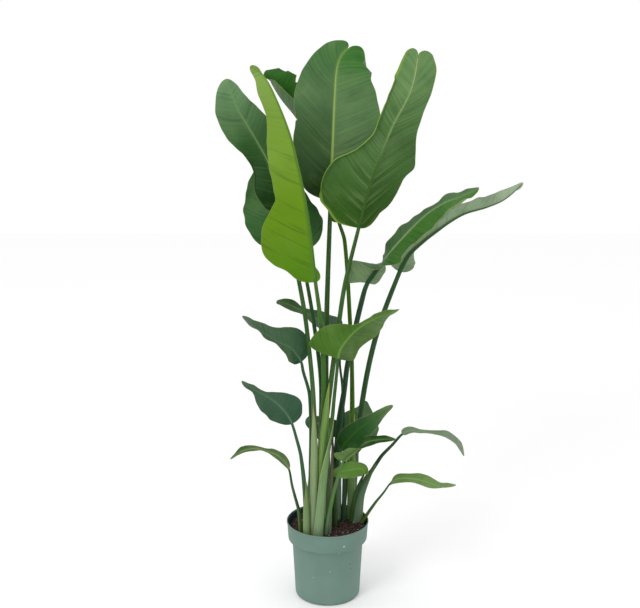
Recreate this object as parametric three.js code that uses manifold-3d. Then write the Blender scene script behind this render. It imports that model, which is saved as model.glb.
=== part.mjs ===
import * as THREE from "three";
import { mergeVertices } from "three/addons/utils/BufferGeometryUtils.js";
import Module from "manifold-3d";

const wasm = await Module();
wasm.setup();

// Sizes in mm: origin at the middle of the pot's underside, Z up, the photo's camera on the -Y side.
// Gap left between pieces that only touch.
const GAP = 0.35;

// Pot: outside and inside line as [radius, height].
const POT_OUTSIDE = [
  [0, 0],
  [76.5, 0],
  [81.5, 1.6],
  [84, 4.5],
  [85, 9],
  [92.4, 146],
  [93.2, 149],
  [101.5, 155],
  [103.2, 157.5],
  [103.9, 161],
  [106, 199],
  [107.2, 200.5],
  [107.4, 203.2],
  [106.4, 205],
];
const POT_INSIDE = [
  [104.8, 205],
  [104, 203],
  [101.9, 161],
  [101, 158.4],
  [91.8, 151.5],
  [90.5, 148],
  [83.1, 9.5],
  [81.4, 5.5],
  [76, 2.4],
  [0, 2.4],
];
const POT_SEGMENTS = 48;
const DRAIN_HOLES = 8;
const DRAIN_RING = 62;
const DRAIN_RADIUS = 5;

// Soil: side line, then the gently mounded top, as [radius, height].
const SOIL_LINE = [
  [0, 2.8],
  [75.6, 2.8],
  [80.8, 5.8],
  [82.7, 9.9],
  [90.1, 148.2],
  [91.4, 152],
  [100.6, 158.8],
  [101.4, 161.2],
  [102.4, 185],
  [99, 186.5],
  [88, 189],
  [66, 190],
  [44, 192],
  [22, 192.5],
  [0, 193],
];
// How deep a stalk goes into the soil.
const BURIED = 26;

// Blade thickness, and how far a midrib stands out below the blade: at its foot as a share of the
// stalk's radius there, and at its tip.
const BLADE = 1.5;
const RIB_FOOT = 1.3;
const RIB_TIP = 1;

// How far the ripples of the right margin run ahead of the left's, in radians.
const RIPPLE_SHIFT = 1.3;
// Steps from the midrib to the margin in which a blade's fold is followed.
const FOLD_STEPS = 6;

// Where along a blade its half widths are given, as a share of the midrib's length.
const STATIONS = [0, 0.08, 0.2, 0.35, 0.5, 0.65, 0.8, 0.92, 1];

const LEAF_GREEN = 0x4f7a45;
const DARK_GREEN = 0x35603c;
const YOUNG_GREEN = 0x7fa63a;
const PALE_GREEN = 0x7f9a6c;
const STALK_GREEN = 0x5a8046;
const DARK_STALK = 0x3d6045;
const YOUNG_STALK = 0x6d9636;

// One entry per leaf. stalk: [x, y, z, radius] from the soil to the blade. rib: the rest of the midrib.
// face: direction of the upper face at the foot and at the tip. left and right, seen on the upper face
// with the tip up: half widths at the stations, and fold: how far that half stands up, in degrees, at
// the midrib and margin near the foot, then the same near the tip. wave: height of the ripples of the
// margin, their number, their start. lobe: how far the foot's lobes reach back beside the stalk.
const LEAVES = [
  {
    name: "centre_top",
    colour: LEAF_GREEN,
    stalkColour: STALK_GREEN,
    big: true,
    stalk: [
      [1, -8, 187, 8.5], [0, -8, 345, 7], [-5, -6, 590, 6.5],
      [-3, -4, 765, 6], [6, 0, 1047, 4.5],
    ],
    rib: [[11, 25, 1184], [16, 60, 1298], [21, 85, 1370], [29, 110, 1432]],
    face: [[-0.1, -1, 0.2], [0, -1, 0.3]],
    left: [55, 77, 90, 90, 96, 76, 42],
    leftFold: [12, 5, 10, 0],
    right: [55, 85, 106, 117, 110, 78, 50],
    rightFold: [15, 5, 10, -5],
    wave: [4, 5, 0],
    lobe: 6,
  },
  {
    name: "right_top",
    colour: LEAF_GREEN,
    stalkColour: STALK_GREEN,
    big: true,
    stalk: [
      [-20, -42, 192, 9], [-13, -42, 410, 8.5], [8, -36, 598, 6.5],
      [27, -34, 745, 6], [42, -33, 846, 5.5], [74, -35, 983, 4.5],
    ],
    rib: [
      [90, -60, 1056], [107, -85, 1120], [145, -125, 1229], [185, -150, 1313], [200, -160, 1393],
    ],
    face: [[-0.1, 1, 0.35], [0.1, 1, 0.3]],
    left: [58, 78, 102, 78, 60, 55, 38],
    leftFold: [15, 15, 15, 10],
    right: [75, 122, 110, 60, 44, 57, 42],
    rightFold: [5, 8, 5, 15],
    wave: [4, 5, 1],
    lobe: 10,
    tip: 12,
  },
  {
    name: "bright_new",
    colour: YOUNG_GREEN,
    stalkColour: YOUNG_STALK,
    big: true,
    stalk: [
      [-16, -22, 192, 8], [-15, -22, 435, 7.5], [-10, -30, 596, 6.5],
      [-20, -45, 763, 5.5], [-31, -65, 855, 4.5],
    ],
    rib: [
      [-41, -80, 957], [-55, -95, 1059], [-69, -105, 1131], [-89, -112, 1213],
      [-121, -118, 1297], [-148, -120, 1346], [-179, -120, 1368],
    ],
    face: [[0.1, -1, 0.1], [0.2, -1, 0.2]],
    left: [88, 122, 92, 66, 60, 38, 26],
    leftFold: [0, 5, 5, 5],
    right: [50, 62, 55, 45, 36, 26, 16],
    rightFold: [-80, -150, -80, -150],
    wave: [4, 5, 1],
    lobe: 5,
  },
  {
    name: "left_top",
    colour: DARK_GREEN,
    stalkColour: STALK_GREEN,
    big: true,
    stalk: [
      [-38, -52, 190, 9], [-34, -50, 363, 8], [-36, -45, 540, 6],
      [-47, -38, 677, 5.5], [-63, -30, 800, 5.5], [-108, -10, 1019, 4.5],
    ],
    rib: [
      [-130, -8, 1092], [-149, -5, 1146], [-170, 0, 1184],
      [-195, 5, 1226], [-221, 12, 1269], [-248, 25, 1337],
    ],
    face: [[-0.1, -1, 0.3], [-0.2, -1, 0.4]],
    left: [42, 46, 32, 38, 58, 58, 38],
    leftFold: [5, 10, 5, 10],
    right: [45, 60, 60, 55, 50, 40, 28],
    rightFold: [12, 5, 12, 5],
    wave: [4, 5, 0],
    lobe: 6,
  },
  {
    name: "left_behind",
    colour: DARK_GREEN,
    stalkColour: DARK_STALK,
    big: true,
    stalk: [
      [-22, 6, 190, 8], [-18, 2, 425, 7], [-18, 4, 586, 5.5],
      [-38, 20, 747, 5], [-54, 32, 840, 4.5], [-68, 45, 910, 4],
    ],
    rib: [[-91, 70, 975], [-114, 100, 1055], [-143, 140, 1158]],
    face: [[0, -1, 0.2], [0, -1, 0.3]],
    left: [92, 122, 112, 92, 70, 48, 28],
    leftFold: [5, 10, 5, 10],
    right: [62, 82, 80, 66, 46, 30, 18],
    rightFold: [5, 0, 5, 0],
    wave: [5, 7, 0],
    lobe: 10,
  },
  {
    name: "back_top",
    colour: DARK_GREEN,
    stalkColour: YOUNG_STALK,
    big: true,
    stalk: [
      [60, 48, 190, 9], [64, 52, 406, 7.5], [63, 54, 598, 5.5],
      [57, 60, 730, 5.5], [43, 80, 930, 5], [28, 90, 979, 4.5],
    ],
    rib: [[0, 130, 1108], [-35, 165, 1232], [-84, 195, 1307], [-155, 220, 1359]],
    face: [[-0.3, -1, 0.2], [-0.3, -1, 0.1]],
    left: [30, 45, 48, 46, 44, 38, 16],
    leftFold: [20, 20, 25, 20],
    right: [40, 60, 66, 66, 60, 44, 24],
    rightFold: [10, 10, 10, 0],
    wave: [4, 7, 0],
    lobe: 4,
  },
  {
    name: "right_mid",
    colour: LEAF_GREEN,
    stalkColour: DARK_STALK,
    big: true,
    stalk: [
      [25, 38, 190, 9], [28, 30, 387, 7.5], [39, 20, 551, 5.5],
      [49, 15, 628, 5.5], [85, 0, 796, 5], [98, -8, 841, 4.5],
    ],
    rib: [
      [133, -20, 896], [177, -40, 955], [232, -65, 1018],
      [274, -85, 1051], [310, -100, 1067], [351, -120, 1091],
    ],
    face: [[-0.7, -0.15, 0.7], [-0.2, -0.5, 0.9]],
    left: [66, 46, 36, 36, 36, 30, 18],
    leftFold: [20, 15, 15, 5],
    right: [52, 58, 66, 68, 62, 48, 26],
    rightFold: [30, -20, 10, 0],
    wave: [4, 5, 0],
    lobe: 40,
  },
  {
    name: "right_far",
    colour: PALE_GREEN,
    stalkColour: DARK_STALK,
    big: true,
    stalk: [
      [63, 67, 188, 8], [80, 65, 402, 7], [101, 68, 566, 5.5],
      [132, 75, 699, 5], [186, 88, 851, 4],
    ],
    rib: [
      [208, 98, 894], [246, 112, 927], [280, 122, 951], [317, 138, 974],
      [357, 152, 993], [417, 172, 1007], [467, 190, 1026], [519, 210, 1068],
    ],
    face: [[-0.6, 0.6, 0.5], [-0.2, 0.8, 0.6]],
    left: [56, 54, 42, 38, 38, 34, 20],
    leftFold: [10, 20, 20, 20],
    right: [50, 48, 36, 32, 34, 30, 18],
    rightFold: [15, 10, 20, 10],
    wave: [3, 5, 0],
    lobe: 12,
  },
  {
    name: "small_back",
    colour: DARK_GREEN,
    stalkColour: DARK_STALK,
    stalk: [
      [44, 30, 190, 6], [45, 37, 356, 4.5], [38, 41, 556, 3.5],
      [32, 50, 607, 3], [26, 62, 700, 2.5],
    ],
    rib: [[-15, 80, 725], [-59, 100, 749], [-99, 115, 765], [-133, 130, 769]],
    face: [[0, -0.3, 0.9], [0, -0.3, 1]],
    left: [24, 28, 28, 26, 22, 16, 9],
    leftFold: [10, 10, 10, 10],
    right: [24, 32, 32, 28, 22, 16, 9],
    rightFold: [20, 10, 10, 10],
    wave: [2, 5, 0],
    lobe: 3,
  },
  {
    name: "left_mid",
    colour: DARK_GREEN,
    stalkColour: DARK_STALK,
    stalk: [
      [-52, -33, 190, 6.5], [-44, -30, 356, 5.5], [-46, -28, 551, 4.5],
      [-63, -30, 622, 4], [-67, -30, 643, 3.5],
    ],
    rib: [
      [-85, -45, 676], [-100, -58, 694], [-121, -75, 712], [-160, -105, 748], [-205, -140, 791],
    ],
    face: [[0.2, -0.8, 0.5], [-0.1, -0.5, 0.8]],
    left: [30, 40, 38, 34, 28, 18, 10],
    leftFold: [10, 20, 5, 10],
    right: [52, 64, 48, 32, 28, 20, 10],
    rightFold: [10, 5, 5, 5],
    wave: [3, 5, 0],
    lobe: 10,
  },
  {
    name: "centre_mid",
    colour: LEAF_GREEN,
    stalkColour: STALK_GREEN,
    stalk: [
      [-26, -67, 190, 9.5], [-10, -64, 368, 8], [10, -62, 501, 5],
      [15, -65, 557, 4.5], [22, -78, 637, 4], [24, -85, 667, 3.8],
    ],
    rib: [
      [31, -92, 694], [48, -102, 722], [69, -115, 748],
      [102, -130, 774], [132, -142, 789], [171, -155, 809],
    ],
    face: [[-0.2, -0.9, 0.6], [0, -0.5, 0.8]],
    left: [72, 92, 64, 42, 26, 22, 14],
    leftFold: [5, 0, 10, 10],
    right: [30, 44, 44, 36, 26, 18, 12],
    rightFold: [10, 10, 10, 10],
    wave: [3, 5, 0],
    lobe: 4,
  },
  {
    name: "left_low",
    colour: DARK_GREEN,
    stalkColour: DARK_STALK,
    stalk: [
      [-55, -64, 190, 7], [-57, -63, 287, 6.5], [-68, -62, 403, 4.5],
      [-79, -64, 452, 4], [-90, -68, 493, 3.5],
    ],
    rib: [
      [-101, -78, 519], [-112, -86, 537], [-129, -96, 558],
      [-152, -108, 579], [-178, -122, 598], [-209, -140, 627],
    ],
    face: [[0.1, -0.9, 0.5], [0, -0.7, 0.7]],
    left: [22, 38, 46, 46, 38, 16, 8],
    leftFold: [5, 5, 5, 5],
    right: [36, 52, 48, 40, 24, 12, 7],
    rightFold: [5, 5, 5, 5],
    wave: [2, 5, 0],
    lobe: 8,
  },
  {
    name: "left_lowest",
    colour: PALE_GREEN,
    stalkColour: STALK_GREEN,
    stalk: [
      [-69, -50, 190, 6], [-74, -54, 252, 4.8], [-80, -58, 279, 4.2],
      [-91, -64, 328, 3.6], [-98, -72, 374, 3],
    ],
    rib: [
      [-108, -80, 396], [-125, -92, 420], [-149, -105, 436],
      [-175, -120, 450], [-206, -138, 453], [-239, -160, 439],
    ],
    face: [[0.3, -0.5, 0.8], [-0.1, -0.4, 1]],
    left: [12, 18, 20, 20, 18, 13, 8],
    leftFold: [20, 10, 10, 10],
    right: [16, 22, 22, 22, 20, 16, 9],
    rightFold: [20, 10, 10, 0],
    wave: [2, 5, 0],
    lobe: 6,
  },
  {
    name: "centre_low",
    colour: DARK_GREEN,
    stalkColour: STALK_GREEN,
    stalk: [[20, -6, 190, 6.5], [20, -8, 291, 5], [24, -12, 359, 4], [36, -20, 408, 3]],
    rib: [[56, -33, 443], [81, -48, 475], [115, -63, 504], [161, -85, 547]],
    face: [[-0.2, -0.9, 0.5], [0, -0.6, 0.8]],
    left: [26, 36, 34, 26, 22, 16, 10],
    leftFold: [10, 10, 10, 10],
    right: [30, 44, 46, 36, 28, 20, 10],
    rightFold: [10, 0, 10, 10],
    wave: [2, 5, 0],
    lobe: 4,
  },
  {
    name: "back_low_right",
    colour: PALE_GREEN,
    stalkColour: DARK_STALK,
    stalk: [[43, 64, 190, 6], [49, 70, 258, 5], [55, 85, 337, 4], [60, 95, 388, 3]],
    rib: [[77, 112, 427], [93, 130, 457], [105, 150, 482]],
    face: [[0, -1, 0.4], [0, -1, 0.4]],
    left: [20, 34, 42, 44, 38, 30, 20],
    leftFold: [5, 5, 5, 5],
    right: [24, 38, 42, 42, 36, 26, 16],
    rightFold: [5, 5, 5, 5],
    wave: [2, 5, 0],
    lobe: 2,
  },
  {
    name: "centre_low_pale",
    colour: PALE_GREEN,
    stalkColour: PALE_GREEN,
    stalk: [[-6, -54, 190, 7], [9, -60, 280, 5.5], [22, -70, 340, 4.2], [38, -80, 398, 3]],
    rib: [[65, -98, 438], [96, -118, 475], [127, -132, 486], [165, -148, 488]],
    face: [[-0.2, 0.9, 0.4], [0, -0.7, 0.7]],
    left: [14, 20, 22, 20, 16, 12, 6],
    leftFold: [20, 0, 10, 10],
    right: [40, 46, 38, 26, 20, 14, 8],
    rightFold: [10, 10, 10, 10],
    wave: [2, 5, 0],
    lobe: 4,
  },
  {
    name: "low_bright",
    colour: LEAF_GREEN,
    stalkColour: DARK_STALK,
    stalk: [[61, 22, 190, 5], [73, 15, 273, 3.6], [87, 5, 313, 3], [94, -5, 334, 2.5]],
    rib: [[76, -15, 346], [55, -25, 350], [31, -30, 349], [8, -35, 349]],
    face: [[0, -0.8, 0.6], [0, -0.7, 0.7]],
    left: [14, 22, 25, 24, 18, 13, 8],
    leftFold: [10, 10, 10, 10],
    right: [14, 22, 26, 25, 20, 14, 8],
    rightFold: [10, 0, 10, 10],
    wave: [2, 5, 0],
    lobe: 6,
  },
  {
    name: "right_low",
    colour: PALE_GREEN,
    stalkColour: DARK_STALK,
    stalk: [
      [78, 30, 189, 8.5], [91, 34, 273, 6.5], [138, 48, 357, 5],
      [173, 56, 394, 4.2], [197, 62, 419, 3.5],
    ],
    rib: [
      [221, 70, 428], [251, 80, 424], [281, 88, 417],
      [317, 95, 405], [348, 100, 380], [368, 102, 342],
    ],
    face: [[-0.3, 0, 0.9], [0.3, 0, 0.9]],
    left: [14, 20, 23, 25, 27, 26, 14],
    leftFold: [10, 10, 10, 10],
    right: [14, 18, 20, 20, 20, 18, 10],
    rightFold: [10, 10, 10, 10],
    wave: [2, 5, 0],
    lobe: 10,
  },
  {
    name: "right_lowest",
    colour: PALE_GREEN,
    stalkColour: STALK_GREEN,
    stalk: [[91, 14, 188, 5.5], [123, -8, 254, 4], [143, -20, 287, 3.4], [163, -35, 324, 3]],
    rib: [[180, -45, 339], [209, -60, 347], [246, -75, 346], [282, -90, 341], [320, -108, 349]],
    face: [[-0.2, -0.3, 0.9], [0.1, -0.3, 0.9]],
    left: [14, 18, 22, 22, 18, 12, 7],
    leftFold: [10, 10, 10, 10],
    right: [12, 16, 18, 18, 16, 12, 7],
    rightFold: [10, 10, 10, 10],
    wave: [2, 5, 0],
    lobe: 8,
  },
  {
    name: "back_low_left",
    colour: DARK_GREEN,
    stalkColour: DARK_STALK,
    stalk: [[9, 12, 190, 6], [12, 16, 281, 5], [14, 18, 364, 4], [10, 22, 418, 3]],
    rib: [[-10, 38, 440], [-33, 58, 451], [-59, 78, 449]],
    face: [[0, -0.9, 0.5], [0, -0.8, 0.6]],
    left: [12, 20, 26, 28, 26, 22, 14],
    leftFold: [5, 5, 5, 5],
    right: [16, 24, 26, 24, 20, 16, 12],
    rightFold: [5, 5, 5, 5],
    wave: [2, 5, 0],
    lobe: 2,
  },
];

const v = (p) => new THREE.Vector3(p[0], p[1], p[2]);

// Smooth curve through all points by chord length: place and direction at one share of the whole.
class Curve {
  constructor(points) {
    this.p = points.map(v);
    this.k = [0];
    for (let i = 1; i < this.p.length; i++) {
      this.k.push(this.k[i - 1] + this.p[i].distanceTo(this.p[i - 1]));
    }
    const n = this.p.length;
    const slope = (a, b) => this.p[b].clone().sub(this.p[a]).divideScalar(this.k[b] - this.k[a]);
    this.m = this.p.map((_, i) => slope(Math.max(i - 1, 0), Math.min(i + 1, n - 1)));
    this.m[0] = slope(0, 1).multiplyScalar(1.5).addScaledVector(this.m[1], -0.5);
    this.m[n - 1] = slope(n - 2, n - 1).multiplyScalar(1.5).addScaledVector(this.m[n - 2], -0.5);
  }
  at(length) {
    let i = 0;
    while (i < this.p.length - 2 && length > this.k[i + 1]) i++;
    const h = this.k[i + 1] - this.k[i];
    const s = (length - this.k[i]) / h;
    const place = new THREE.Vector3()
      .addScaledVector(this.p[i], 2 * s ** 3 - 3 * s ** 2 + 1)
      .addScaledVector(this.m[i], h * (s ** 3 - 2 * s ** 2 + s))
      .addScaledVector(this.p[i + 1], -2 * s ** 3 + 3 * s ** 2)
      .addScaledVector(this.m[i + 1], h * (s ** 3 - s ** 2));
    const along = new THREE.Vector3()
      .addScaledVector(this.p[i], (6 * s ** 2 - 6 * s) / h)
      .addScaledVector(this.m[i], 3 * s ** 2 - 4 * s + 1)
      .addScaledVector(this.p[i + 1], (6 * s - 6 * s ** 2) / h)
      .addScaledVector(this.m[i + 1], 3 * s ** 2 - 2 * s)
      .normalize();
    return { place, along };
  }
}

// Half width at a share of the midrib: a smooth line through the squares, so that the ends are round.
function halfWidth(values, t) {
  const y = [0, ...values, 0].map((w) => w * w);
  const x = STATIONS;
  const sec = x.slice(1).map((_, i) => (y[i + 1] - y[i]) / (x[i + 1] - x[i]));
  const m = y.map((_, i) => {
    if (i === 0) return sec[0];
    if (i === y.length - 1) return sec[i - 1];
    const both = sec[i - 1] * sec[i];
    return both > 0 ? (2 * both) / (sec[i - 1] + sec[i]) : 0;
  });
  let i = 0;
  while (i < x.length - 2 && t > x[i + 1]) i++;
  const h = x[i + 1] - x[i];
  const s = (t - x[i]) / h;
  const square =
    (2 * s ** 3 - 3 * s ** 2 + 1) * y[i] +
    (s ** 3 - 2 * s ** 2 + s) * h * m[i] +
    (-2 * s ** 3 + 3 * s ** 2) * y[i + 1] +
    (s ** 3 - s ** 2) * h * m[i + 1];
  return Math.sqrt(Math.max(square, 4));
}

// Closed mesh from rings with the same number of points, capped at both ends.
function closed(rings) {
  const n = rings[0].length;
  const position = rings.flat().flatMap((p) => [p.x, p.y, p.z]);
  const index = [];
  for (let i = 0; i < rings.length - 1; i++) {
    for (let j = 0; j < n; j++) {
      const a = i * n + j;
      const b = i * n + ((j + 1) % n);
      // The second half of a ring runs back, so its quads are split the other way, to match the first.
      if (j < n / 2) index.push(a, b, b + n, a, b + n, a + n);
      else index.push(a, b, a + n, b, b + n, a + n);
    }
  }
  const last = (rings.length - 1) * n;
  for (let j = 1; j < n / 2; j++) {
    const k = n - j;
    index.push(j - 1, k % n, j);
    index.push(last + j - 1, last + j, last + (k % n));
    if (k - 1 > j) {
      index.push(j, k % n, k - 1);
      index.push(last + j, last + k - 1, last + (k % n));
    }
  }
  return { position, index };
}

function geometryOf({ position, index }) {
  const geometry = new THREE.BufferGeometry();
  geometry.setAttribute("position", new THREE.Float32BufferAttribute(position, 3));
  geometry.setIndex(Array.from(index));
  geometry.computeVertexNormals();
  return geometry;
}

// A solid for cutting: shared corners merged, faces without area dropped.
function solid(geometry) {
  const plain = geometry.clone();
  plain.deleteAttribute("normal");
  plain.deleteAttribute("uv");
  const merged = mergeVertices(plain, 1e-4);
  const corners = merged.index.array;
  const faces = [];
  for (let i = 0; i < corners.length; i += 3) {
    const [a, b, c] = [corners[i], corners[i + 1], corners[i + 2]];
    if (a !== b && b !== c && c !== a) faces.push(a, b, c);
  }
  return new wasm.Manifold(
    new wasm.Mesh({
      numProp: 3,
      vertProperties: merged.attributes.position.array,
      triVerts: Uint32Array.from(faces),
    }),
  );
}

function fromSolid(body) {
  const mesh = body.getMesh();
  return geometryOf({ position: Array.from(mesh.vertProperties), index: mesh.triVerts });
}

// A turned shape about Z from a line of [radius, height] that starts and ends on the axis.
function turned(line) {
  const points = line.map((p) => new THREE.Vector2(p[0], p[1]));
  return new THREE.LatheGeometry(points, POT_SEGMENTS).rotateX(Math.PI / 2);
}

// The stalk and midrib are one curve: the joint is where the blade starts.
function leafCurve(leaf) {
  const first = leaf.stalk[0];
  const down = [first[0], first[1], first[2] - BURIED];
  const curve = new Curve([down, ...leaf.stalk, ...leaf.rib]);
  return { curve, joint: curve.k[leaf.stalk.length] };
}

// Rings of a stalk from its buried end up, made thicker by grow; count: how many of its steps.
function stalkRings(leaf, grow, count) {
  const { curve, joint } = leafCurve(leaf);
  const sides = leaf.big ? 7 : 6;
  const steps = leaf.big ? 11 : 8;
  const radii = [leaf.stalk[0][3], ...leaf.stalk.map((p) => p[3])];
  const rings = [];
  for (let i = 0; i <= (count ?? steps); i++) {
    const length = i === 0 ? -grow : (i / steps) * (joint - GAP);
    const { place, along } = curve.at(length);
    let k = 0;
    while (k < radii.length - 2 && length > curve.k[k + 1]) k++;
    const part = Math.min(Math.max((length - curve.k[k]) / (curve.k[k + 1] - curve.k[k]), 0), 1);
    const radius = radii[k] + (radii[k + 1] - radii[k]) * part + grow;
    const across = new THREE.Vector3(1, 0, 0).addScaledVector(along, -along.x).normalize();
    const other = along.clone().cross(across);
    const ring = [];
    for (let j = 0; j < sides; j++) {
      const angle = (2 * Math.PI * (j + 0.5)) / sides;
      const point = place.clone().addScaledVector(across, radius * Math.cos(angle));
      ring.push(point.addScaledVector(other, radius * Math.sin(angle)));
    }
    rings.push(ring);
  }
  return rings;
}

// Point of the blade's middle surface, whose folds open out flat at both ends.
// side: -1 left, 1 right; a: share of the way to the margin.
function bladePoint(leaf, frame, t, side, a) {
  const values = side > 0 ? leaf.right : leaf.left;
  const fold = side > 0 ? leaf.rightFold : leaf.leftFold;
  const wide = halfWidth(values, t);
  const folded = Math.min(1, 12 * t, 12 * (1 - t));
  const foot = (fold[0] + (fold[2] - fold[0]) * t) * folded;
  const edge = (fold[1] + (fold[3] - fold[1]) * t) * folded;
  let out = 0;
  let up = 0;
  for (let i = 0; i < FOLD_STEPS; i++) {
    const angle = THREE.MathUtils.degToRad(foot + ((edge - foot) * a * (i + 0.5)) / FOLD_STEPS);
    out += (Math.cos(angle) * a * wide) / FOLD_STEPS;
    up += (Math.sin(angle) * a * wide) / FOLD_STEPS;
  }
  const phase = leaf.wave[2] + (side > 0 ? RIPPLE_SHIFT : 0);
  const ends = Math.min(1, 6 * t, 6 * (1 - t));
  up += leaf.wave[0] * a * a * Math.sin(Math.PI * leaf.wave[1] * t + phase) * ends;
  const grown = Math.min(1, (wide / values[0]) ** 2);
  const back = leaf.lobe * a * a * (1 - t) ** 8 * grown;
  const ahead = (leaf.tip || 0) * a * a * t ** 8;
  return frame.place
    .clone()
    .addScaledVector(frame.across, side * out)
    .addScaledVector(frame.normal, up)
    .addScaledVector(frame.along, ahead - back);
}

// Rings round a blade from its foot to its tip: the upper face, then the lower one with its midrib.
function bladeRings(leaf) {
  const { curve, joint } = leafCurve(leaf);
  const whole = curve.k[curve.k.length - 1];
  const steps = leaf.big ? 10 : 7;
  const parts = leaf.big ? 3 : 2;
  const rows = [];
  for (let i = 0; i <= steps; i++) {
    const t = (1 - Math.cos((Math.PI * i) / steps)) / 2;
    const { place, along } = curve.at(joint + GAP / 2 + t * (whole - joint - GAP / 2));
    const normal = v(leaf.face[0]).lerp(v(leaf.face[1]), t);
    normal.addScaledVector(along, -normal.dot(along)).normalize();
    const across = along.clone().cross(normal);
    const frame = { place, along, normal, across };
    const row = [];
    for (let j = -parts; j <= parts; j++) {
      row.push(bladePoint(leaf, frame, t, Math.sign(j) || 1, Math.abs(j) / parts));
    }
    rows.push({ row, frame, t });
  }
  const ribFoot = leaf.stalk[leaf.stalk.length - 1][3] * RIB_FOOT;
  return rows.map(({ row, frame, t }) => {
    const top = [];
    const bottom = [];
    row.forEach((p, j) => {
      const before = row[Math.max(j - 1, 0)];
      const after = row[Math.min(j + 1, row.length - 1)];
      const normal = after.clone().sub(before).normalize().cross(frame.along);
      const turned = normal.lengthSq() < 0.2 ? frame.normal.clone() : normal.normalize();
      const below = j === parts ? RIB_TIP + (ribFoot - RIB_TIP) * (1 - t) ** 1.5 : BLADE / 2;
      top.push(p.clone().addScaledVector(turned, BLADE / 2));
      bottom.push(p.clone().addScaledVector(turned, -below));
    });
    return [...top, ...bottom.reverse()];
  });
}

const group = new THREE.Group();
group.name = "potted_bird_of_paradise";

function addNode(parent, name, geometry, colour, roughness) {
  const material = new THREE.MeshStandardMaterial({ color: colour, roughness, metalness: 0 });
  const mesh = new THREE.Mesh(geometry, material);
  mesh.name = name;
  parent.add(mesh);
}

// The pot, with drain holes on one ring of its floor.
let pot = solid(turned([...POT_OUTSIDE, ...POT_INSIDE]));
for (let i = 0; i < DRAIN_HOLES; i++) {
  const angle = (2 * Math.PI * i) / DRAIN_HOLES;
  const hole = new THREE.CylinderGeometry(DRAIN_RADIUS, DRAIN_RADIUS, 10, 12).rotateX(Math.PI / 2);
  hole.translate(DRAIN_RING * Math.cos(angle), DRAIN_RING * Math.sin(angle), 0);
  pot = pot.subtract(solid(hole));
}
addNode(group, "pot", fromSolid(pot), 0x6f9182, 0.6);

// The soil, with one socket per stalk.
let soil = solid(turned(SOIL_LINE));
for (const leaf of LEAVES) {
  soil = soil.subtract(solid(geometryOf(closed(stalkRings(leaf, GAP + 0.1, 2)))));
}
addNode(group, "soil", fromSolid(soil), 0x3b2a22, 0.95);

// Each leaf is a group of its own: a stalk and the blade that it carries.
for (const leaf of LEAVES) {
  const grown = new THREE.Group();
  grown.name = "leaf_" + leaf.name;
  group.add(grown);
  const stalk = closed(stalkRings(leaf, 0));
  addNode(grown, "stalk_" + leaf.name, geometryOf(stalk), leaf.stalkColour, 0.55);
  const blade = closed(bladeRings(leaf));
  addNode(grown, "blade_" + leaf.name, geometryOf(blade), leaf.colour, 0.5);
}

export default group;
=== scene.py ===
import math
import random

import bmesh
import bpy
import numpy as np
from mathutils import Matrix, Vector, noise


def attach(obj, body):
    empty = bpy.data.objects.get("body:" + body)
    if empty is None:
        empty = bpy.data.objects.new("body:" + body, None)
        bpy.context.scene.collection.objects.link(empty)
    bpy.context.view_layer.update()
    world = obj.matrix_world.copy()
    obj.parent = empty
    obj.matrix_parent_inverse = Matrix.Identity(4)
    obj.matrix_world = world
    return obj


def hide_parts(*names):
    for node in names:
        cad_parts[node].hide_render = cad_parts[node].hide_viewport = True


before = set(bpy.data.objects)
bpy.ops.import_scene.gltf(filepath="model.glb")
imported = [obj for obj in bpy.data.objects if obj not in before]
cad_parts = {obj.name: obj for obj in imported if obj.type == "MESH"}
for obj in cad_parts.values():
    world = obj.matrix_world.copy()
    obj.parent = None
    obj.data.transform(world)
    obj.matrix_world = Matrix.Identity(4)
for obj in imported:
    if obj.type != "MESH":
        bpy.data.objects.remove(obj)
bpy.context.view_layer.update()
MM = 0.001

# Pot
# A thin nursery pot of injection-moulded polypropylene, coloured in the mass and matt from its mould.
# Its wall line is turned once round: a rim band over a slanted step, a rounded lip, holes in the floor.
POT_STEPS = 144
ROUND_STEPS = 6
# Wall line in mm: radius, height and how far each corner is rounded.
POT_OUTSIDE = [
    (0, 0, 0),
    (84.6, 0, 9),
    (92.4, 146.5, 1),
    (93.4, 149.5, 1.5),
    (103.4, 157, 3),
    (106, 199.5, 1),
    (107.4, 201, 1),
    (107.2, 205, 1.2),
]
POT_INSIDE = [
    (105, 205, 0.8),
    (104.4, 199.5, 1),
    (101.6, 160, 3),
    (91.6, 151.5, 1.5),
    (90.4, 148.5, 1),
    (82.8, 2.4, 8),
    (0, 2.4, 0),
]
DRAIN_HOLES = 8
DRAIN_RING = 62
DRAIN_RADIUS = 5
# Up to this height in mm the inner wall takes a darker material, painted shade inside the pot.
SHADED_TO = 200
# Specks of dust and of grime to a metre: one in about 40 and one in about 55 mm.
DUST = 24.0
GRIME = 18.0
SHARP = math.radians(50)


def linear(code):
    """A colour written as sRGB hex, in the linear values that a shader takes."""
    parts = [int(code[i:i + 2], 16) / 255 for i in (1, 3, 5)]
    curve = [p / 12.92 if p < 0.04045 else ((p + 0.055) / 1.055) ** 2.4 for p in parts]
    return (*curve, 1)


def add_node(tree, kind, inputs=None, output=0, **settings):
    """Adds a node and returns one of its outputs. inputs: for each, a value or the output that feeds it."""
    made = tree.nodes.new("ShaderNode" + kind)
    for name, value in settings.items():
        setattr(made, name, value)
    for name, value in (inputs or {}).items():
        if isinstance(value, bpy.types.NodeSocket):
            tree.links.new(value, made.inputs[name])
        else:
            made.inputs[name].default_value = value
    return made.outputs[output]


def new_material(name, **sockets):
    """A material with its Principled shader set to the values that hold all over it."""
    made = bpy.data.materials.new(name)
    made.use_nodes = True
    shader = made.node_tree.nodes["Principled BSDF"]
    for socket, value in sockets.items():
        shader.inputs[socket.replace("_", " ")].default_value = value
    return made, made.node_tree, shader


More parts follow.
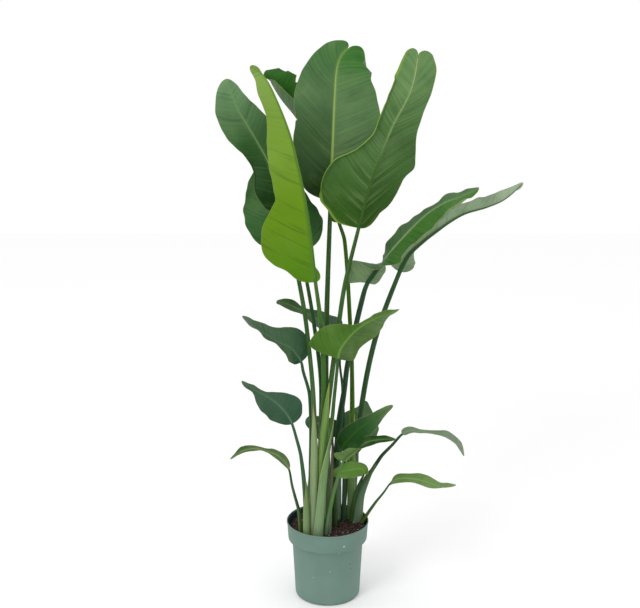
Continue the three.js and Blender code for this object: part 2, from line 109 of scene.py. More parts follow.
# How a value passes softly from one range to another, and how two colours are mixed: settings and inputs.
SMOOTH = {"interpolation_type": "SMOOTHSTEP"}
COLOURS = {"data_type": "RGBA", "output": 2}
MIX_A = 6
MIX_B = 7


def tinted(tree, base, tint, value, low, high, most=1.0, within=None):
    """base with a tint that grows to its most as value goes from low to high; within holds it back."""
    base, tint = [linear(colour) if isinstance(colour, str) else colour for colour in (base, tint)]
    strength = add_node(tree, "MapRange", {0: value, 1: low, 2: high, 4: most}, **SMOOTH)
    if within is not None:
        strength = add_node(tree, "Math", {0: strength, 1: within}, operation="MULTIPLY")
    return add_node(tree, "Mix", {0: strength, MIX_A: base, MIX_B: tint}, **COLOURS)


def graded(tree, share, codes):
    """The colours of a list of hex codes, one after another while share goes from 0 to 1."""
    base = codes[0]
    last = len(codes) - 1
    for i, code in enumerate(codes[1:]):
        base = tinted(tree, base, code, share, i / last, (i + 1) / last)
    return base


def feed_shader(tree, shader, base, roughness=None, bump=None):
    """Links a skin to its shader: colour, roughness, and bump as [strength, depth in metres, pattern]."""
    tree.links.new(base, shader.inputs["Base Color"])
    if roughness is not None:
        tree.links.new(roughness, shader.inputs["Roughness"])
    if bump is not None:
        inputs = dict(zip(("Strength", "Distance", "Height"), bump))
        tree.links.new(add_node(tree, "Bump", inputs), shader.inputs["Normal"])


def finish_piece(bm, name, materials, replaced=None):
    """Makes the piece, shaded smooth but for its sharp edges, and lets it ride and stand for its node."""
    for face in bm.faces:
        face.smooth = True
    for edge in bm.edges:
        edge.smooth = len(edge.link_faces) == 2 and edge.calc_face_angle(0) < SHARP
    mesh = bpy.data.meshes.new(name)
    bm.to_mesh(mesh)
    bm.free()
    for material in materials:
        mesh.materials.append(material)
    piece = bpy.data.objects.new(name, mesh)
    bpy.context.scene.collection.objects.link(piece)
    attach(piece, "root")
    if replaced:
        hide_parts(replaced)


def rounded(line):
    """The wall line with each corner turned into an arc of short steps."""
    points = []
    for i, (radius, height, cut) in enumerate(line):
        corner = Vector((radius, height))
        if cut == 0:
            points.append(corner)
            continue
        before = Vector(line[i - 1][:2]) - corner
        after = Vector(line[i + 1][:2]) - corner
        start = corner + before.normalized() * min(cut, before.length * 0.45)
        end = corner + after.normalized() * min(cut, after.length * 0.45)
        for step in range(ROUND_STEPS + 1):
            s = step / ROUND_STEPS
            points.append(start * (1 - s) ** 2 + corner * 2 * s * (1 - s) + end * s ** 2)
    return points


def turned(line, steps):
    """A closed solid, turned about Z from a line in mm that starts and ends on the axis."""
    bm = bmesh.new()
    corners = [bm.verts.new((x * MM, 0, z * MM)) for x, z in line]
    edges = [bm.edges.new(pair) for pair in zip(corners, corners[1:])]
    bmesh.ops.spin(
        bm,
        geom=corners + edges,
        axis=(0, 0, 1),
        angle=2 * math.pi,
        steps=steps,
        use_merge=True,
    )
    bmesh.ops.remove_doubles(bm, verts=bm.verts[:], dist=0.00001)
    bmesh.ops.recalc_face_normals(bm, faces=bm.faces[:])
    return bm


# Polypropylene with a fine moulded grain: a soft sheen, a little bluer low down, with a few specks of dust.
pot_plastic, tree, shader = new_material("moulded_polypropylene", IOR=1.49, Specular_IOR_Level=0.3)
here = add_node(tree, "TexCoord", output="Object")
height = add_node(tree, "SeparateXYZ", {0: here}, output="Z")
cloud = add_node(tree, "TexNoise", {"Vector": here, "Scale": 1 / (45 * MM), "Detail": 3.0})
dust = add_node(tree, "TexVoronoi", {"Vector": here, "Scale": DUST})
grime = add_node(tree, "TexVoronoi", {"Vector": here, "Scale": GRIME})
grain = add_node(tree, "TexNoise", {"Vector": here, "Scale": 1 / (0.9 * MM), "Detail": 2.0})
base = tinted(tree, "#607B70", "#678176", height, 0.15, 0.02)
base = tinted(tree, base, "#728D82", cloud, 0.35, 0.7, 0.25)
base = tinted(tree, base, "#B4C9BE", dust, 0.07, 0.045, 0.75)
base = tinted(tree, base, "#3A5146", grime, 0.05, 0.03, 0.6)
rough = add_node(tree, "MapRange", {0: cloud, 1: 0.3, 2: 0.7, 3: 0.52, 4: 0.64}, **SMOOTH)
feed_shader(tree, shader, base, rough, [0.3, 0.0002, grain])

# The inner wall is the same plastic, painted darker as the shade inside the pot, mottled a little.
pot_inner, tree, shader = new_material("shaded_inner_polypropylene", IOR=1.49)
here = add_node(tree, "TexCoord", output="Object")
shade_mottle = add_node(tree, "TexNoise", {"Vector": here, "Scale": 1 / (14 * MM), "Detail": 3.0})
base = tinted(tree, "#1E3F45", "#133238", shade_mottle, 0.4, 0.7)
rough = add_node(tree, "MapRange", {0: shade_mottle, 1: 0.3, 2: 0.7, 3: 0.35, 4: 0.6}, **SMOOTH)
feed_shader(tree, shader, base, rough)

bm = turned(rounded(POT_OUTSIDE + POT_INSIDE), POT_STEPS)
# Inner faces up to that height take the dark material of painted shade.
for face in bm.faces:
    middle = face.calc_center_median()
    inwards = face.normal.x * middle.x + face.normal.y * middle.y < 0
    face.material_index = 1 if inwards and middle.z < SHADED_TO * MM else 0
solid = bpy.data.objects.new("pot_blank", bpy.data.meshes.new("pot_blank"))
bm.to_mesh(solid.data)
bm.free()
cutter_bm = bmesh.new()
for i in range(DRAIN_HOLES):
    angle = 2 * math.pi * i / DRAIN_HOLES
    hole = bmesh.ops.create_cone(
        cutter_bm,
        cap_ends=True,
        segments=24,
        radius1=DRAIN_RADIUS * MM,
        radius2=DRAIN_RADIUS * MM,
        depth=0.01,
    )["verts"]
    middle = Vector((math.cos(angle), math.sin(angle), 0)) * DRAIN_RING * MM
    bmesh.ops.translate(cutter_bm, verts=hole, vec=middle)
cutter = bpy.data.objects.new("cutter", bpy.data.meshes.new("cutter"))
cutter_bm.to_mesh(cutter.data)
cutter_bm.free()
for made in (solid, cutter):
    bpy.context.scene.collection.objects.link(made)
cut = solid.modifiers.new("drain_holes", "BOOLEAN")
cut.operation = "DIFFERENCE"
cut.object = cutter
bm = bmesh.new()
bm.from_object(solid, bpy.context.evaluated_depsgraph_get())
for made in (solid, cutter):
    bpy.data.objects.remove(made)
finish_piece(bm, "nursery_pot", [pot_plastic, pot_inner], "pot")

# Potting mix
# Dark peat and bark with coir fibres and a few white grains of perlite, mounded a little round the stalks.
# The mass is turned and its top made uneven; crumbs, fibres and grains are strewn over it as real pieces.
SOIL_STEPS = 160
SOIL_RINGS = 60
SOIL_SIDE = [
    (0, 3),
    (75.4, 3),
    (82.2, 9),
    (89.8, 148),
    (91.2, 152),
    (100.6, 159),
    (101.3, 161.5),
    (102.3, 184),
]
SOIL_TOP = [(0, 192), (22, 191.5), (44, 191), (66, 189), (88, 187), (102.3, 184)]
SOIL_EDGE = 184
# Lumps of its top: which noise, their size and their height in mm.
SOIL_LUMPS = [(3, 16, 3.4), (9, 6, 2.2), (5, 2.6, 1.3)]
# How many crumbs, grains and fibres there are, and how far from the pot's axis their middles lie in mm.
CRUMBS = 1500
CRUMB_REACH = 100
PERLITE = 45
PERLITE_REACH = 98
FIBRES = 260
FIBRE_REACH = 97
FIBRE_POINTS = 6
# Past this distance from the axis in mm, a fibre's point is drawn in to a share of it, off the wall.
FIBRE_LIMIT = 101
DRAWN_IN = 0.97
dice = random.Random(4)


def soil_height(x, y):
    """Height of the soil's top in mm, with its lumps."""
    radii = [p[0] for p in SOIL_TOP]
    heights = [p[1] for p in SOIL_TOP]
    level = float(np.interp(math.hypot(x, y), radii, heights))
    return level + sum(noise.noise(Vector((x, y, which)) / size) * high for which, size, high in SOIL_LUMPS)


# Peat and bark: nearly black where damp, reddish brown where dry, without any sheen.
soil_mix, tree, shader = new_material("peat_and_bark", Roughness=0.95, IOR=1.4)
here = add_node(tree, "TexCoord", output="Object")
damp = add_node(tree, "TexNoise", {"Vector": here, "Scale": 1 / (9 * MM), "Detail": 6.0})
spots = add_node(tree, "TexNoise", {"Vector": here, "Scale": 1 / (1.6 * MM), "Detail": 2.0})
base = tinted(tree, "#190D0C", "#33201C", damp, 0.35, 0.65)
base = tinted(tree, base, "#5A4038", spots, 0.55, 0.75, 0.7)
feed_shader(tree, shader, base, bump=[0.8, 0.0012, spots])

rings = [(SOIL_TOP[-1][0] * (1 - i / SOIL_RINGS), SOIL_EDGE) for i in range(1, SOIL_RINGS + 1)]
bm = turned([*SOIL_SIDE, *rings], SOIL_STEPS)
for corner in bm.verts:
    if corner.co.z > (SOIL_EDGE - 0.5) * MM:
        x = corner.co.x / MM
        y = corner.co.y / MM
        corner.co.z = soil_height(x, y) * MM
bmesh.ops.recalc_face_normals(bm, faces=bm.faces[:])
finish_piece(bm, "potting_mix", [soil_mix], "soil")


def strewn_place(reach):
    """A random place on the soil, in mm, within reach of the pot's axis."""
    radius = reach * math.sqrt(dice.random())
    angle = dice.uniform(0, 2 * math.pi)
    x = radius * math.cos(angle)
    y = radius * math.sin(angle)
    return Vector((x, y, soil_height(x, y)))


def lump(bm, middle, size, flat, rough, tone):
    """One crumb: a small ball pulled out of round."""
    corners = bmesh.ops.create_icosphere(bm, subdivisions=1, radius=1)["verts"]
    turn = dice.uniform(0, 2 * math.pi)
    long = dice.uniform(1, 1.7)
    shade = bm.verts.layers.float["tone"]
    for corner in corners:
        pull = 1 + rough * noise.noise(corner.co * 1.7 + middle)
        x = corner.co.x * pull * size * long
        y = corner.co.y * pull * size
        z = corner.co.z * pull * size * flat
        across = Vector((math.cos(turn) * x - math.sin(turn) * y, math.sin(turn) * x + math.cos(turn) * y, z))
        corner.co = (middle + across) * MM
        corner[shade] = tone


def toned_material(name, dark, pale, rough):
    """A dull material between two colours by each crumb's own tone."""
    made, tree, shader = new_material(name, Roughness=rough)
    tone = add_node(tree, "Attribute", output="Fac", attribute_name="tone")
    here = add_node(tree, "TexCoord", output="Object")
    patches = add_node(tree, "TexNoise", {"Vector": here, "Scale": 1 / (2.5 * MM), "Detail": 3.0})
    patches = add_node(tree, "MapRange", {0: patches, 1: 0.3, 2: 0.7, 3: -0.25, 4: 0.25}, **SMOOTH)
    factor = add_node(tree, "Math", {0: tone, 1: patches}, operation="ADD", use_clamp=True)
    inputs = {0: factor, MIX_A: linear(dark), MIX_B: linear(pale)}
    feed_shader(tree, shader, add_node(tree, "Mix", inputs, **COLOURS))
    return made


crumb_bark = toned_material("bark_crumbs", "#140B0A", "#5F453B", 0.9)
perlite_white = toned_material("perlite", "#A8A296", "#CFCAC0", 0.85)
coir = toned_material("coir_fibre", "#3A251C", "#957565", 0.8)

bm = bmesh.new()
bm.verts.layers.float.new("tone")
for _ in range(CRUMBS):
    middle = strewn_place(CRUMB_REACH)
    size = dice.uniform(0.9, 2.6)
    lump(bm, middle + Vector((0, 0, size * 0.2)), size, 0.7, 0.9, dice.random() ** 2)
finish_piece(bm, "bark_crumbs", [crumb_bark])

bm = bmesh.new()
bm.verts.layers.float.new("tone")
for _ in range(PERLITE):
    middle = strewn_place(PERLITE_REACH)
    lump(bm, middle + Vector((0, 0, 0.6)), dice.uniform(0.8, 1.7), 0.9, 0.5, dice.random())
finish_piece(bm, "perlite_grains", [perlite_white])


def numbered_grid(bm, rows, columns):
    """The corners of a new grid of faces, row after row."""
    made = bmesh.ops.create_grid(bm, x_segments=columns, y_segments=rows, size=1)["verts"]
    return sorted(made, key=lambda corner: (round((corner.co.y + 1) * rows), corner.co.x))


def tube(bm, rings, layers, index=0):
    """A closed tube from rings of points in mm; each ring ends where it starts. layers: its attributes."""
    rows, columns = rings.shape[0] - 1, rings.shape[1] - 1
    corners = numbered_grid(bm, rows, columns)
    for corner, point in zip(corners, rings.reshape(-1, 3) * MM):
        corner.co = point
    for layer, values in layers.items():
        for corner, value in zip(corners, values.reshape(len(corners), -1)):
            corner[layer] = value if len(value) > 1 else value[0]
    for face in {face for corner in corners for face in corner.link_faces}:
        face.material_index = index
    bmesh.ops.remove_doubles(bm, verts=corners, dist=1e-7)
    kept = [corner for corner in corners if corner.is_valid]
    ends = {edge for corner in kept for edge in corner.link_edges if edge.is_boundary}
    caps = bmesh.ops.holes_fill(bm, edges=list(ends), sides=0)["faces"]
    for face in caps:
        face.material_index = index
    bmesh.ops.recalc_face_normals(bm, faces=list({f for c in kept for f in c.link_faces}))


bm = bmesh.new()
tone = bm.verts.layers.float.new("tone")
for _ in range(FIBRES):
    middle = strewn_place(FIBRE_REACH)
    length = dice.uniform(5, 16)
    heading = dice.uniform(0, 2 * math.pi)
    bend = dice.uniform(-0.9, 0.9)
    lift = dice.uniform(0.2, 2.2)
    thick = dice.uniform(0.25, 0.5)
    rings = []
    for step in range(FIBRE_POINTS):
        s = step / (FIBRE_POINTS - 1) - 0.5
        way = heading + bend * s
        x = middle.x + length * s * math.cos(way)
        y = middle.y + length * s * math.sin(way)
        if math.hypot(x, y) > FIBRE_LIMIT:
            x, y = x * DRAWN_IN, y * DRAWN_IN
        z = soil_height(x, y) + 0.4 + lift * (0.25 - s * s) * 4
        side = Vector((-math.sin(way), math.cos(way), 0)) * thick
        up = Vector((0, 0, thick))
        centre = Vector((x, y, z))
        rings.append([centre + side, centre + up, centre - side, centre - up, centre + side])
    rings = np.array([[list(p) for p in ring] for ring in rings])
    tube(bm, rings, {tone: np.full(rings.shape[:2], dice.random())})
finish_piece(bm, "coir_fibres", [coir])

# Leaves, as grown
# Each leaf is a long stalk and a paddle-shaped blade along one smooth midrib line. This table holds each
# leaf's line, widths, folds and colours; the sections after it make the stalk, the blade and the sheath.

# Stations along the blade, folds and waves of the leaves that don't have their own.
STATIONS = [0, 0.08, 0.2, 0.35, 0.5, 0.65, 0.8, 0.92, 1]
FOLDS = [[0, 10, 10], [1, 10, 10]]
WAVE = [2, 5, 0]

# stalk: [x, y, z, radius] in mm from the soil to the blade. rib: the rest of the midrib. face: [share of
# the blade's length, x, y, z] of the way that the upper face looks. left, right: half widths in mm at the
# stations between the two ends, seen on the upper face with the tip up. end: those at the very tip, where
# it is blunt; tip: how far each half bulges past it. folds: [share, degrees that this half stands up at the
# midrib, and at the margin]. wave: height, number and start of the margin's waves. ruffle: height of its
# uneven waves; uneven: of its outline. lobe: how far the margins reach back past the midrib's foot.
# slope: of the side veins. cuts: [side, share, its half length as a share, depth in mm]. curl: [side, from,
# to as shares, width in mm, degrees] of a rolled margin. upper, under: colours from foot to tip;
# upper_right where the right half differs. vein: midrib colours above and below. stem: colours of the
# stalk's foot and head. rib_line: width of the pale line above, against the usual. rib_under: colours of
# the midrib below. margin: colour, width and side (-1 left, 1 right) of a broad margin. cloud: strength of
# the patches. big: drawn with a finer mesh. slot: the name of its finish.
LEAVES = {
    "centre_top": dict(
        big=True, slot="leaf",
        stalk=[
            [1, -8, 187, 8.5], [0, -8, 345, 7.5], [-5, -6, 590, 7],
            [-3, -4, 765, 6.5], [6, 0, 1047, 5.2],
        ],
        rib=[[11, 25, 1184], [16, 60, 1298], [21, 82, 1360], [31, 96, 1390], [48, 106, 1409]],
        face=[[0, -0.1, -1, 0.2], [1, 0, -1, 0.3]],
        at=[0, 0.08, 0.2, 0.35, 0.5, 0.65, 0.8, 0.9, 0.96, 1],
        left=[66, 86, 97, 94, 100, 84, 62, 45], end=[28, 52],
        right=[60, 88, 110, 114, 106, 88, 88, 75],
        left_fold=[[0, 12, 14], [0.5, 8, 8], [1, 6, -8]],
        right_fold=[[0, 15, 5], [0.7, 8, 0], [1, 2, -14]],
        wave=[4, 5, 0], ruffle=3, lobe=[6, 6], tip=[12, 28], slope=[0.8, 0.3],
        # The dark colours at its foot and its darker left half are painted shade under the leaves in front.
        upper=["#16350A", "#36542C", "#486840", "#3C6834"],
        upper_right=["#1F410F", "#4A6A3E", "#507244", "#326826"], under=["#4A6239", "#5D794E"],
        vein=["#8CA455", "#6E8A48"], stem=["#5E7852", "#2C4F1C"], rib_line=1.3,
        cuts=[["left", 0.5, 0.014, 5]],
    ),
    "right_top": dict(
        big=True, slot="leaf",
        stalk=[
            [-20, -42, 192, 9], [-13, -42, 410, 8.5], [8, -36, 598, 6.5],
            [27, -34, 745, 6], [42, -33, 846, 5.5], [74, -35, 983, 4.5],
        ],
        rib=[
            [90, -60, 1056], [107, -85, 1120], [145, -125, 1229], [185, -150, 1313],
            [200, -153, 1392],
        ],
        face=[[0, -0.1, 1, 0.35], [1, 0.1, 1, 0.3]],
        at=[
            0, 0.034, 0.09, 0.133, 0.226, 0.3, 0.345, 0.4,
            0.45, 0.56, 0.67, 0.76, 0.83, 0.93, 1,
        ],
        left=[30, 54, 68, 78, 80, 86, 98, 92, 72, 57, 50, 49, 47], end=[34, 30],
        right=[58, 86, 108, 121, 114, 104, 78, 61, 40, 43, 47, 48, 40],
        left_fold=[[0, 15, 40], [0.2, 15, 20], [1, 12, 10]],
        right_fold=[[0, 5, 8], [1, 5, 15]],
        wave=[4, 5, 1], ruffle=3, lobe=[6, 12], tip=[12, 14], slope=[1.15, 0.6],
        upper=["#33551F", "#486740"], under=["#284E04", "#436632", "#587A48"],
        vein=["#869C4F", "#3A5F22"], stem=["#748C6C", "#31551E"],
        curl=[["right", 0.14, 0.9, 9, -150]],
        margin=["#6F9030", 9, 1], rib_under=["#31551E", "#35591F", "#6F8C5A", "#8CA27A"],
    ),
    "bright_new": dict(
        big=True, slot="young_leaf",
        stalk=[
            [-16, -22, 192, 8], [-15, -22, 435, 7.5], [-10, -30, 596, 6.5],
            [-20, -45, 763, 5.5], [-31, -65, 855, 4.5],
        ],
        rib=[
            [-41, -80, 957], [-55, -95, 1059], [-69, -105, 1131], [-89, -112, 1213],
            [-121, -118, 1297], [-148, -120, 1346], [-179, -120, 1368],
        ],
        face=[[0, 0.1, -1, 0.1], [1, 0.2, -1, 0.2]],
        at=[0, 0.03, 0.08, 0.12, 0.2, 0.28, 0.36, 0.41, 0.52, 0.65, 0.8, 0.87, 0.94, 1],
        left=[44, 69, 100, 124, 120, 88, 69, 68, 58, 37, 36, 23],
        right=[18, 28, 40, 56, 60, 55, 52, 45, 38, 28, 22, 16],
        left_fold=[[0, 2, 14], [0.27, 4, 20], [0.42, -4, -4], [1, 4, 5]],
        right_fold=[[0, -75, -130], [1, -80, -150]],
        wave=[3, 5, 1], ruffle=2, lobe=[4, 6], slope=[0.62, 0.5], cloud=0.3,
        upper=["#4C7A02", "#5C8208", "#6C8E2C", "#789648"], under=["#6A8A30", "#7D9A55"],
        vein=["#4C7420", "#7D9A40"], stem=["#5D793F", "#3C6424"], rib_line=2.4,
    ),
    "left_top": dict(
        big=True, slot="dark_leaf",
        stalk=[
            [-38, -52, 190, 9], [-34, -50, 363, 8], [-36, -45, 540, 6],
            [-47, -38, 677, 5.5], [-63, -30, 800, 5.5], [-108, -10, 1019, 4.5],
        ],
        rib=[
            [-130, -8, 1092], [-149, -5, 1146], [-170, 0, 1184],
            [-195, 5, 1226], [-221, 12, 1269], [-248, 25, 1337],
        ],
        face=[[0, -0.1, -1, 0.3], [1, -0.2, -1, 0.4]],
        left=[44, 54, 42, 46, 59, 53, 34], right=[45, 60, 60, 55, 50, 36, 24],
        left_fold=[[0, 5, 10], [1, 5, 10]], right_fold=[[0, 12, 5], [1, 12, 5]],
        wave=[4, 5, 0], ruffle=3, lobe=[6, 6], slope=[0.5, 0.6],
        upper=["#10320A", "#2A5021", "#5E8056"], under=["#4F6A4A", "#5F7A58"],
        vein=["#6F8C58", "#6F8C60"], stem=["#87997A", "#2E531F"], rib_line=0.6,
        curl=[["left", 0.2, 0.55, 6, 70]],
    ),
    "left_behind": dict(
        big=True, slot="dark_leaf",
        stalk=[
            [-22, 6, 190, 8], [-18, 2, 425, 7], [-18, 4, 586, 5.5],
            [-38, 20, 747, 5], [-54, 32, 840, 4.5], [-68, 45, 910, 4],
        ],
        rib=[[-91, 70, 975], [-114, 100, 1055], [-143, 140, 1158]],
        face=[[0, 0, -1, 0.2], [1, 0, -1, 0.3]],
        left=[48, 96, 113, 110, 92, 66, 36], right=[58, 76, 72, 58, 42, 28, 16],
        left_fold=[[0, 5, 10], [1, 5, 10]], right_fold=[[0, 5, 0], [1, 5, 0]],
        wave=[5, 7, 0], ruffle=7, uneven=6, lobe=[0, 8], slope=[0.5, 0.5],
        upper=["#37602F", "#3A6434", "#244C1C"], under=["#46604A", "#4F6A50"],
        vein=["#4A6E42", "#5A7650"], stem=["#3F6038", "#244C1C"], rib_line=0.6,
    ),
    "back_top": dict(
        big=True, slot="dark_leaf",
        stalk=[
            [60, 48, 190, 9], [64, 52, 406, 7.5], [63, 54, 598, 5.5],
            [57, 60, 730, 5.5], [43, 80, 930, 5], [28, 90, 979, 4.5],
        ],
        rib=[
            [-5, 125, 1090], [-45, 155, 1180], [-82, 175, 1239],
            [-120, 196, 1284], [-148, 208, 1330], [-154, 214, 1357],
        ],
        face=[[0, -0.3, -1, 0.2], [1, -0.3, -1, 0.1]],
        left=[34, 48, 52, 52, 50, 44, 24], right=[40, 60, 82, 90, 91, 81, 60], end=[6, 30],
        left_fold=[[0, 112, 150], [1, 112, 150]], right_fold=[[0, 15, 5], [1, 10, 5]],
        wave=[4, 7, 0], ruffle=4, lobe=[4, 4], slope=[0.6, 0.6],
        upper=["#22580C", "#265C14"], under=["#3E5A35", "#47633F"],
        vein=["#4A6E3A", "#55753F"], stem=["#54761E", "#386206"],
        cuts=[["right", 0.83, 0.035, 18]],
    ),
    "right_mid": dict(
        big=True, slot="leaf",
        stalk=[
            [25, 38, 190, 9], [26, 30, 387, 9.5], [31, 25, 470, 9],
            [42, 20, 551, 7], [51, 15, 628, 6.8], [85, 0, 796, 6.8], [98, -8, 841, 6],
        ],
        rib=[
            [133, -20, 896], [177, -40, 955], [232, -65, 1018],
            [274, -85, 1051], [310, -100, 1067], [351, -120, 1091],
        ],
        face=[
            [0, -0.35, 0.9, 0.25], [0.11, -0.4, 0.85, 0.35], [0.2, -0.75, -0.1, 0.65],
            [0.3, -0.4, -0.75, 0.5], [1, -0.2, -0.6, 0.8],
        ],
        at=[0, 0.02, 0.05, 0.1, 0.16, 0.22, 0.3, 0.4, 0.5, 0.65, 0.8, 0.92, 1],
        left=[22, 30, 34, 31, 24, 26, 26, 20, 15, 16, 12],
        right=[46, 54, 70, 72, 50, 44, 56, 60, 60, 48, 26],
        left_fold=[[0, 0, 10], [1, 15, 5]], right_fold=[[0, 10, 20], [0.25, 15, 10], [1, 8, 0]],
        curl=[["right", 0.28, 0.95, 13, 110]],
        wave=[4, 5, 0], ruffle=5, uneven=5, lobe=[6, 28], slope=[0.7, 0.5],
        upper=["#315A26", "#42603C", "#496B43"], upper_right=["#325B20", "#3A6826", "#42702C"],
        under=["#657F58", "#6E8760"], vein=["#7D9565", "#5F7A55"],
        stem=["#24472F", "#1D3E22"],
    ),
    "right_far": dict(
        big=True, slot="pale_leaf",
        stalk=[
            [63, 67, 188, 8], [79, 65, 402, 7.5], [100, 68, 566, 7],
            [130, 75, 699, 7], [185, 88, 851, 6],
        ],
        rib=[
            [208, 98, 894], [246, 112, 927], [280, 122, 951], [317, 138, 974],
            [357, 152, 993], [417, 172, 1007], [467, 190, 1026], [516, 208, 1066],
        ],
        face=[[0, -0.25, 0.95, 0.3], [0.2, -0.4, 0.8, 0.4], [1, -0.2, 0.8, 0.6]],
        at=[0, 0.04, 0.1, 0.16, 0.25, 0.35, 0.5, 0.65, 0.8, 0.92, 1],
        left=[32, 50, 58, 52, 44, 38, 38, 34, 20], right=[36, 52, 58, 50, 42, 32, 34, 30, 18],
        left_fold=[[0, 5, 10], [0.12, 15, 20], [0.28, 72, 85], [0.88, 70, 80], [1, 25, 20]],
        right_fold=[[0, 15, 10], [1, 20, 10]],
        wave=[3, 5, 0], ruffle=4, uneven=5, lobe=[2, 8], slope=[0.6, 0.6],
        upper=["#31561F", "#2E552B"], under=["#6F8864", "#829878", "#9CAE92"],
        vein=["#7D9565", "#45653F"], stem=["#2B4A33", "#264A24"],
    ),
    "small_back": dict(
        slot="dark_leaf",
        stalk=[
            [44, 30, 190, 7], [44, 37, 356, 4.8], [38, 41, 556, 3.5],
            [32, 50, 607, 3], [26, 62, 700, 2.5],
        ],
        rib=[[-15, 80, 720], [-59, 100, 741], [-99, 115, 757], [-133, 130, 765]],
        face=[[0, 0, -0.3, 0.9], [1, 0, -0.3, 1]],
        left=[30, 36, 32, 24, 22, 25, 21], right=[30, 34, 28, 18, 15, 19, 16],
        right_fold=[[0, 20, 10], [1, 10, 10]],
        lobe=[3, 3],
        upper=["#46604A", "#27481B"], under=["#46604A", "#4C6848"],
        vein=["#5A7A48", "#5F7A55"], stem=["#2C4E30", "#264A26"],
    ),
    "left_mid": dict(
        slot="dark_leaf",
        stalk=[
            [-52, -33, 190, 6.5], [-44, -30, 356, 5.5], [-46, -28, 551, 4.5],
            [-63, -30, 622, 4], [-67, -30, 643, 3.5],
        ],
        rib=[[-85, -45, 675], [-100, -58, 692], [-124, -75, 708], [-162, -105, 742], [-205, -140, 787]],
        face=[[0, 0.2, -0.8, 0.5], [1, -0.1, -0.5, 0.8]],
        left=[24, 32, 26, 14, 12, 14, 10], right=[46, 56, 44, 33, 27, 20, 12],
        left_fold=[[0, 10, 20], [1, 5, 10]], right_fold=[[0, 10, 5], [1, 5, 5]],
        wave=[3, 6, 0], ruffle=4, lobe=[2, 2], slope=[0.4, 0.5],
        upper=["#2E5236", "#466345", "#587054"], under=["#55705A", "#5D785E"],
        vein=["#56765A", "#5F7A60"], stem=["#3F6044", "#2E5434"], rib_line=0.6,
    ),
    "centre_mid": dict(
        slot="leaf",
        stalk=[
            [-26, -67, 190, 9.5], [-10, -64, 368, 8], [10, -62, 501, 5],
            [15, -65, 557, 4.5], [22, -78, 637, 4], [24, -85, 667, 3.8],
        ],
        rib=[
            [31, -92, 694], [48, -101, 722], [69, -110, 747],
            [101, -110, 769], [131, -111, 782], [170, -122, 801],
        ],
        face=[[0, -0.2, -0.9, 0.6], [0.6, -0.1, -0.7, 0.7], [1, 0.3, -0.2, 0.9]],
        at=[0, 0.08, 0.2, 0.28, 0.36, 0.44, 0.55, 0.64, 0.72, 0.85, 0.93, 1],
        left=[82, 68, 52, 36, 17, 8, 8, 13, 12, 7],
        right=[34, 50, 50, 50, 50, 49, 47, 43, 42, 30],
        left_fold=[[0, 5, 0], [1, 10, 10]],
        wave=[3, 5, 0], ruffle=2.5, lobe=[20, 4], slope=[0.4, 0.9],
        upper=["#3E6418", "#40641C", "#557638"], upper_right=["#3C5828", "#46622F", "#688456"],
        under=["#62805A", "#6A8860"], vein=["#5F8438", "#688A58"],
        stem=["#597059", "#2E5220"],
    ),
    "left_low": dict(
        slot="dark_leaf",
        stalk=[
            [-55, -64, 190, 7], [-57, -63, 287, 6.5], [-68, -62, 403, 4.5],
            [-79, -64, 452, 4], [-90, -68, 493, 3.5],
        ],
        rib=[
            [-101, -78, 519], [-112, -86, 537], [-129, -96, 558],
            [-152, -108, 579], [-178, -122, 598], [-209, -140, 627],
        ],
        face=[[0, 0.1, -0.9, 0.5], [1, 0, -0.7, 0.7]],
        at=[0, 0.08, 0.2, 0.35, 0.5, 0.62, 0.7, 0.76, 0.8, 0.9, 1],
        left=[18, 33, 42, 44, 43, 32, 14, 10, 11],
        right=[36, 48, 38, 22, 10, 8, 8, 8, 6],
        left_fold=[[0, 5, 5], [1, 5, 5]], right_fold=[[0, 5, 5], [1, 5, 5]],
        ruffle=2, lobe=[8, 8], slope=[0.5, 0.4],
        upper=["#2E5038", "#385842", "#4D684C"], under=["#55705A", "#5D785E"],
        vein=["#557559", "#5F7A60"], stem=["#5A7326", "#2E5434"], rib_line=0.7,
    ),
    "left_lowest": dict(
        slot="pale_leaf",
        stalk=[
            [-69, -50, 190, 6], [-74, -54, 252, 4.8], [-80, -58, 279, 4.2],
            [-91, -64, 328, 3.6], [-98, -72, 374, 3],
        ],
        rib=[
            [-108, -80, 393], [-125, -92, 417], [-149, -105, 433],
            [-175, -120, 447], [-206, -137, 449], [-239, -153, 432],
        ],
        face=[[0, 0.3, -0.5, 0.8], [1, -0.1, -0.4, 1]],
        left=[14, 20, 16, 8, 10, 12, 6], right=[14, 18, 14, 8, 12, 12, 6],
        left_fold=[[0, 20, 10], [1, 10, 10]], right_fold=[[0, 20, 10], [1, 10, 0]],
        lobe=[6, 6],
        upper=["#627A4C", "#546B41", "#2C5020"], under=["#5D764C", "#5F7A50"],
        vein=["#7D9A5A", "#6F8C58"], stem=["#4F6A2C", "#30552A"],
    ),
    "centre_low": dict(
        slot="dark_leaf",
        stalk=[[20, -6, 190, 6.5], [20, -8, 291, 5], [24, -12, 359, 4], [36, -20, 408, 3]],
        rib=[[56, -33, 443], [81, -48, 475], [115, -63, 504], [161, -85, 547]],
        face=[[0, -0.2, -0.9, 0.5], [1, 0, -0.6, 0.8]],
        left=[24, 30, 26, 20, 18, 14, 9], right=[30, 44, 46, 36, 28, 20, 10],
        right_fold=[[0, 10, 0], [1, 10, 10]],
        lobe=[4, 4],
        upper=["#1C4818", "#264E22", "#5F7A4E"], under=["#5A7A48", "#5F7A50"],
        vein=["#33601C", "#5F7F48"], stem=["#2F5424", "#2C501E"], rib_line=0.7,
    ),
    "back_low_right": dict(
        slot="pale_leaf",
        stalk=[[43, 64, 190, 6], [49, 70, 258, 5], [55, 85, 337, 4], [60, 95, 388, 3]],
        rib=[[77, 112, 427], [93, 130, 457], [105, 150, 482]],
        face=[[0, 0, -1, 0.4], [1, 0, -1, 0.4]],
        left=[24, 38, 46, 42, 30, 17, 9], right=[30, 50, 62, 62, 46, 26, 12],
